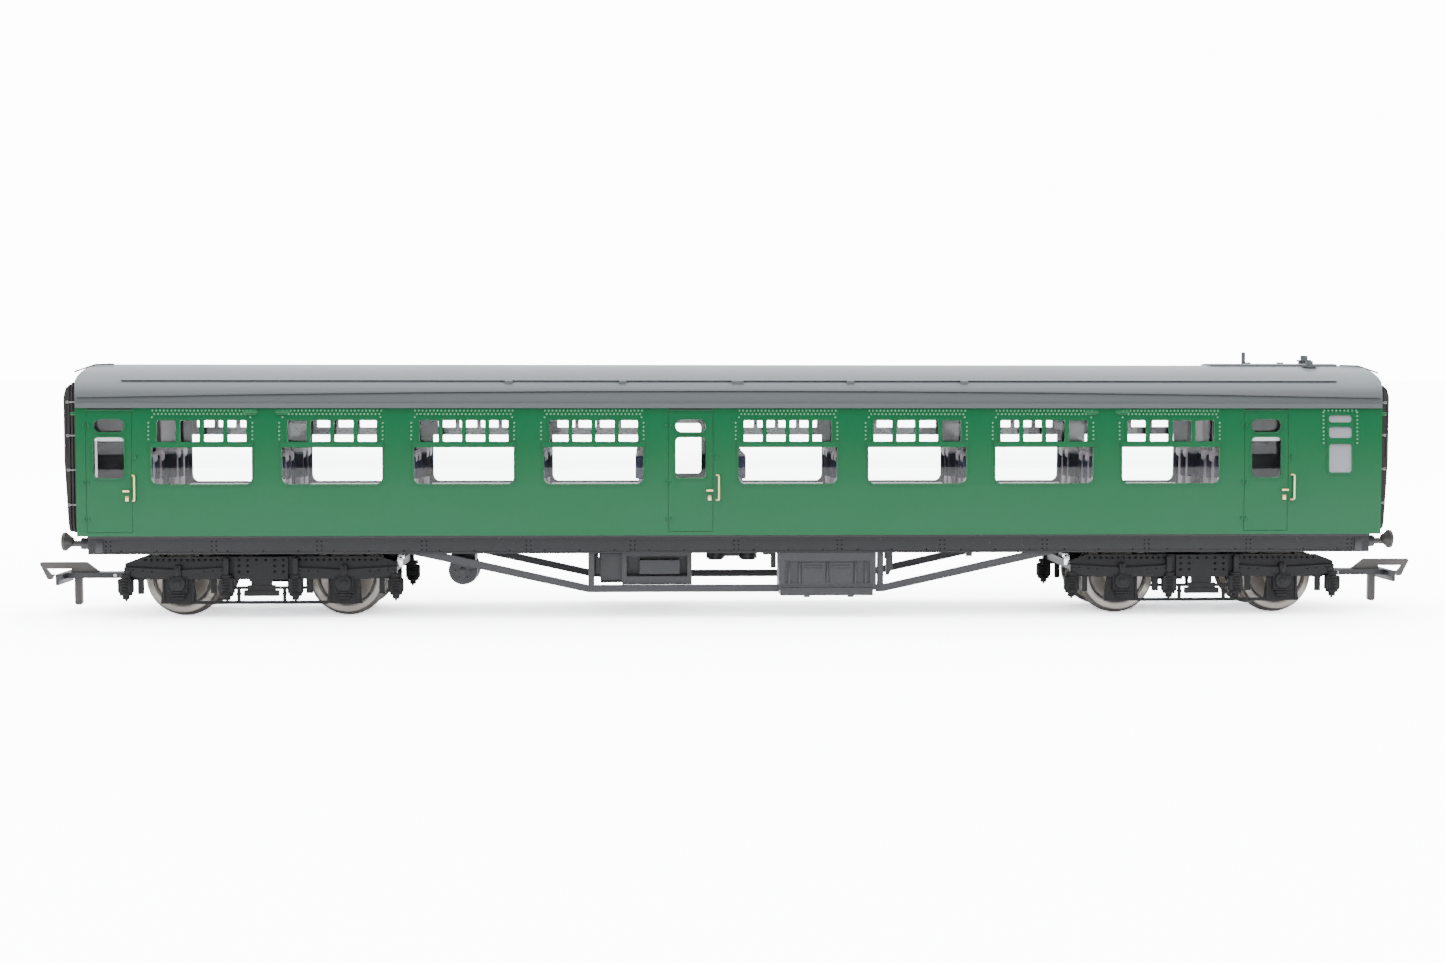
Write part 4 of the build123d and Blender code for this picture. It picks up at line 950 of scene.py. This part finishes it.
# --- bogies ------------------------------------------------------------------------------------------
class COACH_OT_bogies(bpy.types.Operator):
    """Rivets, axlebox covers, springs and contact tabs on each bogie"""

    bl_idname = "coach.bogies"
    bl_label = "Bogies"

    def execute(self, context):
        radius = context.scene.coach_detail.frame_rivet / MM
        rivets = self.rivets(radius)
        boxes = self.axleboxes()
        springs = self.springs()
        for tag, end in BOGIES:
            body = f"bogie_{tag}"
            for name, master, finish in (("rivets", rivets, "rivet_shaded_black"),
                                         ("axlebox_covers", boxes, "running_gear"),
                                         ("springs", springs, "running_gear")):
                near = copy_at(master, [(end * BOGIE_X, 0, 0)], keep=True)[0]
                both_sides(near, f"{body}_{name}", finish, body)
            self.tab(tag, end)
        for master in (rivets, boxes, springs):
            bpy.data.objects.remove(master)
        return {"FINISHED"}

    def rivets(self, radius):
        """Rivets along the top flange and in columns on the middle plate."""
        flange, plate, beam = -13.4, -13.9, -14.2
        places = [(x, flange, 11.62) for x in steps(-22.8, -6.4, 1.17)]
        places += [(x, flange, 11.62) for x in steps(6.4, 22.8, 1.17)]
        places += [(x, plate, z) for x in (-4.35, -2.65, 2.65, 4.35) for z in (11.64, 10.5, 9.3)]
        places += [(x, plate, 11.64) for x in (-0.9, 0.9)]
        rivets = copy_at(rivet_head(radius), places)
        small = [(half * x, beam, z) for half in (-1, 1) for x, z in (
            (7.6, 9.6), (9.4, 9.5), (11.2, 9.4), (21.4, 9.4), (23.2, 9.6), (25.0, 9.8))]
        return join(rivets + copy_at(rivet_head(0.18), small), "bogie_rivets")

    def axleboxes(self):
        """Round covers with a ribbed lid, bolts and a keep below each axlebox."""
        parts = []
        for half in (-1, 1):
            x = half * AXLE_X
            parts.append(soften(drum("cover", (x, -14.55, AXLE_Z), 1.55, 0.5, "Y", 28), 0.14))
            parts.append(soften(drum("boss", (x, -14.75, AXLE_Z), 0.8, 0.5, "Y", 20), 0.14))
            for z in (5.85, 5.3, 4.75, 4.2):
                width = 1.95 - (5.85 - z) * 0.42
                leaf = block("leaf", (x - width, -14.42, z - 0.19), (x + width, -13.6, z + 0.19))
                parts.append(soften(leaf, 0.1))
            for dx in (-2.9, 2.9):
                guide = block("guide", (x + dx - 0.22, -13.95, 3.3), (x + dx + 0.22, -13.5, 8.2))
                parts.append(soften(guide, 0.1))
            bolts = [(x + dx, -14.3, z) for dx in (-1.6, 1.6) for z in (5.6, 8.1)]
            parts += copy_at(rivet_head(0.24, 0.9), bolts)
            spindle = drum("spindle", (x, -14.3, 9.5), 0.45, 2.2, "Z", 16)
            parts.append(soften(spindle, 0.12))
        return join(parts, "axlebox_covers")

    def springs(self):
        """Spring coils in ribbed cups, with collars, caps and blunt feet, at both ends of each beam."""
        parts = []
        for half in (-1, 1):
            for x, low, high in ((26.55, 5.5, 8.4), (6.75, 5.3, 8.2)):
                for z in steps(low, high, 0.62):
                    deselect()
                    bpy.ops.mesh.primitive_torus_add(
                        major_segments=20, minor_segments=6, major_radius=0.92 * MM,
                        minor_radius=0.26 * MM, location=(half * x * MM, BEAM_Y * MM, z * MM))
                    parts.append(settle(bpy.context.object))
                parts.append(soften(drum("collar", (half * x, BEAM_Y, low - 0.5), 1.25, 0.6, "Z", 20), 0.1))
                parts.append(soften(drum("cap", (half * x, BEAM_Y, high + 0.35), 1.15, 0.35, "Z", 20), 0.1))
                cup = block("cup", (half * x - 1.5, -14.6, low - 0.3), (half * x + 1.5, -13.2, high - 0.4))
                parts.append(soften(cup, 0.3, 3))
                for rib in (-0.75, 0.75):
                    bar = block("rib", (half * x + rib - 0.2, -14.75, low),
                                (half * x + rib + 0.2, -14.4, high - 0.8))
                    parts.append(soften(bar, 0.12))
                foot = drum("foot", (half * x, BEAM_Y, low - 1.1), 0.7, 1.0, "Z", 16)
                parts.append(soften(foot, 0.18))
        for half in (-1, 1):
            link = drum("link", (half * 4.5, -13.5, 4.9), 0.42, 1.0, "Y", 14)
            parts.append(soften(link, 0.1))
        return join(parts, "bogie_springs")

    def tab(self, tag, end):
        """A bright contact strip bent over the bogie's inner end."""
        x = end * (BOGIE_X - 27.2)
        parts = []
        for lean, low, high in ((0.0, 10.1, 12.2), (0.35, 11.7, 12.6)):
            centre = x - end * lean
            strip = block("strip", (centre - 0.55, -12.7, low), (centre + 0.55, -12.45, high))
            parts.append(soften(strip, 0.06))
        fit(join(parts, f"contact_strip_{tag}"), FINISH["tin"], f"bogie_{tag}")


# --- stage --------------------------------------------------------------------------------
class CoachStage(bpy.types.PropertyGroup):
    """Light levels of the studio"""

    backdrop: number_setting("Backdrop", "How bright the white surround looks", 14.0)
    surround: number_setting("Surround", "Light from the room in front of the coach", 0.085)
    rear: number_setting("Rear light", "Extra light from the surround behind the coach", 1.65)
    overhead: number_setting("Overhead", "Power of the overhead softbox", 6.0, "POWER")
    floor_gain: number_setting("Floor gain", "How much brighter the paper looks than it lights", 5.3)
    floor_sheen: number_setting("Floor reflection", "How bright the paper is in reflections", 2.8)


def seen_directly(tree):
    """1 for rays that reach the surface with no diffuse or glossy bounce before it."""
    path = tree.nodes.new("ShaderNodeLightPath")
    diffuse = math_node(tree, "MINIMUM", path.outputs["Diffuse Depth"], 1.0)
    glossy = math_node(tree, "MINIMUM", path.outputs["Glossy Depth"], 1.0)
    direct = math_node(tree, "MULTIPLY", math_node(tree, "SUBTRACT", 1.0, diffuse),
                       math_node(tree, "SUBTRACT", 1.0, glossy))
    return direct, math_node(tree, "MULTIPLY", glossy, math_node(tree, "SUBTRACT", 1.0, diffuse))


class COACH_OT_stage(bpy.types.Operator):
    """Pale floor, soft studio light and the camera"""

    bl_idname = "coach.stage"
    bl_label = "Stage"

    def execute(self, context):
        stage = context.scene.coach_stage
        self.floor(stage)
        self.surround(stage)
        self.lights(stage)
        self.camera()
        return {"FINISHED"}

    def floor(self, stage):
        """White paper under and far round the coach."""
        deselect()
        bpy.ops.mesh.primitive_plane_add(size=30)
        paper = bpy.context.object
        paper.name = "studio_floor"
        material = bpy.data.materials.new("white_paper")
        material.use_nodes = True
        tree = material.node_tree
        tree.nodes.clear()
        shader = tree.nodes.new("ShaderNodeBsdfDiffuse")
        output = tree.nodes.new("ShaderNodeOutputMaterial")
        tree.links.new(shader.outputs[0], output.inputs[0])
        fibre = noise(tree, 400.0, 4.0)
        paper_white = mix_colour(tree, fibre, (0.80, 0.81, 0.83), (0.83, 0.835, 0.85))
        direct, glossy = seen_directly(tree)
        gain = math_node(tree, "ADD", 1.0, math_node(
            tree, "ADD", math_node(tree, "MULTIPLY", direct, stage.floor_gain - 1),
            math_node(tree, "MULTIPLY", glossy, stage.floor_sheen - 1)))
        scale = tree.nodes.new("ShaderNodeVectorMath")
        scale.operation = "SCALE"
        tree.links.new(paper_white, scale.inputs[0])
        tree.links.new(gain, scale.inputs["Scale"])
        tree.links.new(scale.outputs[0], shader.inputs["Color"])
        paper.data.materials.append(material)

    def surround(self, stage):
        """A white surround that lights the coach mostly from above and behind."""
        world = bpy.data.worlds.new("surround")
        world.use_nodes = True
        tree = world.node_tree
        coords = tree.nodes.new("ShaderNodeTexCoord")
        axes = tree.nodes.new("ShaderNodeSeparateXYZ")
        tree.links.new(coords.outputs["Generated"], axes.inputs[0])
        behind = ramp(tree, axes.outputs[1], -0.3, 0.7)
        above = ramp(tree, axes.outputs[2], 0.1, 0.9)
        most = math_node(tree, "MAXIMUM", behind, above)
        room = math_node(tree, "ADD", math_node(tree, "MULTIPLY", most, stage.rear), stage.surround)
        direct, glossy = seen_directly(tree)
        lift = math_node(tree, "MULTIPLY", direct, math_node(tree, "SUBTRACT", stage.backdrop, room))
        background = tree.nodes["Background"]
        background.inputs[0].default_value = (0.985, 0.99, 1.0, 1)
        tree.links.new(math_node(tree, "ADD", room, lift), background.inputs[1])
        bpy.context.scene.world = world

    def lights(self, stage):
        """A broad overhead softbox, a little behind the coach."""
        lamp = bpy.data.lights.new("overhead", "AREA")
        lamp.shape = "RECTANGLE"
        lamp.size, lamp.size_y = 1.6, 0.7
        lamp.energy = stage.overhead
        light = bpy.data.objects.new("overhead", lamp)
        bpy.context.collection.objects.link(light)
        place = Vector((0.0, 0.1, 0.8))
        light.location = place
        light.rotation_euler = (Vector((0, 0, 0.03)) - place).to_track_quat("-Z", "Y").to_euler()

    def camera(self):
        """A camera at eye level with the body, square on to the near side."""
        lens = bpy.data.cameras.new("camera")
        lens.sensor_width = 36.0
        lens.lens = 48.53
        lens.clip_start = 0.01
        lens.clip_end = 50
        camera = bpy.data.objects.new("camera", lens)
        bpy.context.collection.objects.link(camera)
        yaw, pitch, roll = 0.0369, 0.0543, -0.0009
        camera.rotation_euler = (math.pi / 2 - pitch, roll, -yaw)
        camera.location = (-0.0170, -0.4013, 0.0482)
        bpy.context.scene.camera = camera


class COACH_PT_panel(bpy.types.Panel):
    """Sidebar panel that lists the coach's settings and operators"""

    bl_label = "Coach"
    bl_idname = "COACH_PT_panel"
    bl_space_type = "VIEW_3D"
    bl_region_type = "UI"
    bl_category = "Coach"

    def draw(self, context):
        for name, group in SETTINGS.items():
            settings = getattr(context.scene, name)
            for key in group.__annotations__:
                self.layout.prop(settings, key)
        for operator in OPERATORS:
            self.layout.operator(operator.bl_idname)


SETTINGS = {"coach_finishes": CoachFinishes, "coach_detail": CoachDetail, "coach_stage": CoachStage}
OPERATORS = (
    COACH_OT_finishes, COACH_OT_body_rivets, COACH_OT_cantrail, COACH_OT_door_fittings,
    COACH_OT_seats, COACH_OT_sills, COACH_OT_vestibules, COACH_OT_gangways,
    COACH_OT_underframe, COACH_OT_bogies, COACH_OT_stage,
)
CLASSES = (*SETTINGS.values(), *OPERATORS, COACH_PT_panel)


def register():
    for cls in CLASSES:
        bpy.utils.register_class(cls)
    for name, group in SETTINGS.items():
        setattr(bpy.types.Scene, name, bpy.props.PointerProperty(type=group))


def unregister():
    for name in SETTINGS:
        delattr(bpy.types.Scene, name)
    for cls in reversed(CLASSES):
        bpy.utils.unregister_class(cls)


def main():
    """Build the whole coach."""
    register()
    for operator in OPERATORS:
        module, name = operator.bl_idname.split(".")
        getattr(getattr(bpy.ops, module), name)()


if __name__ == "__main__":
    main()
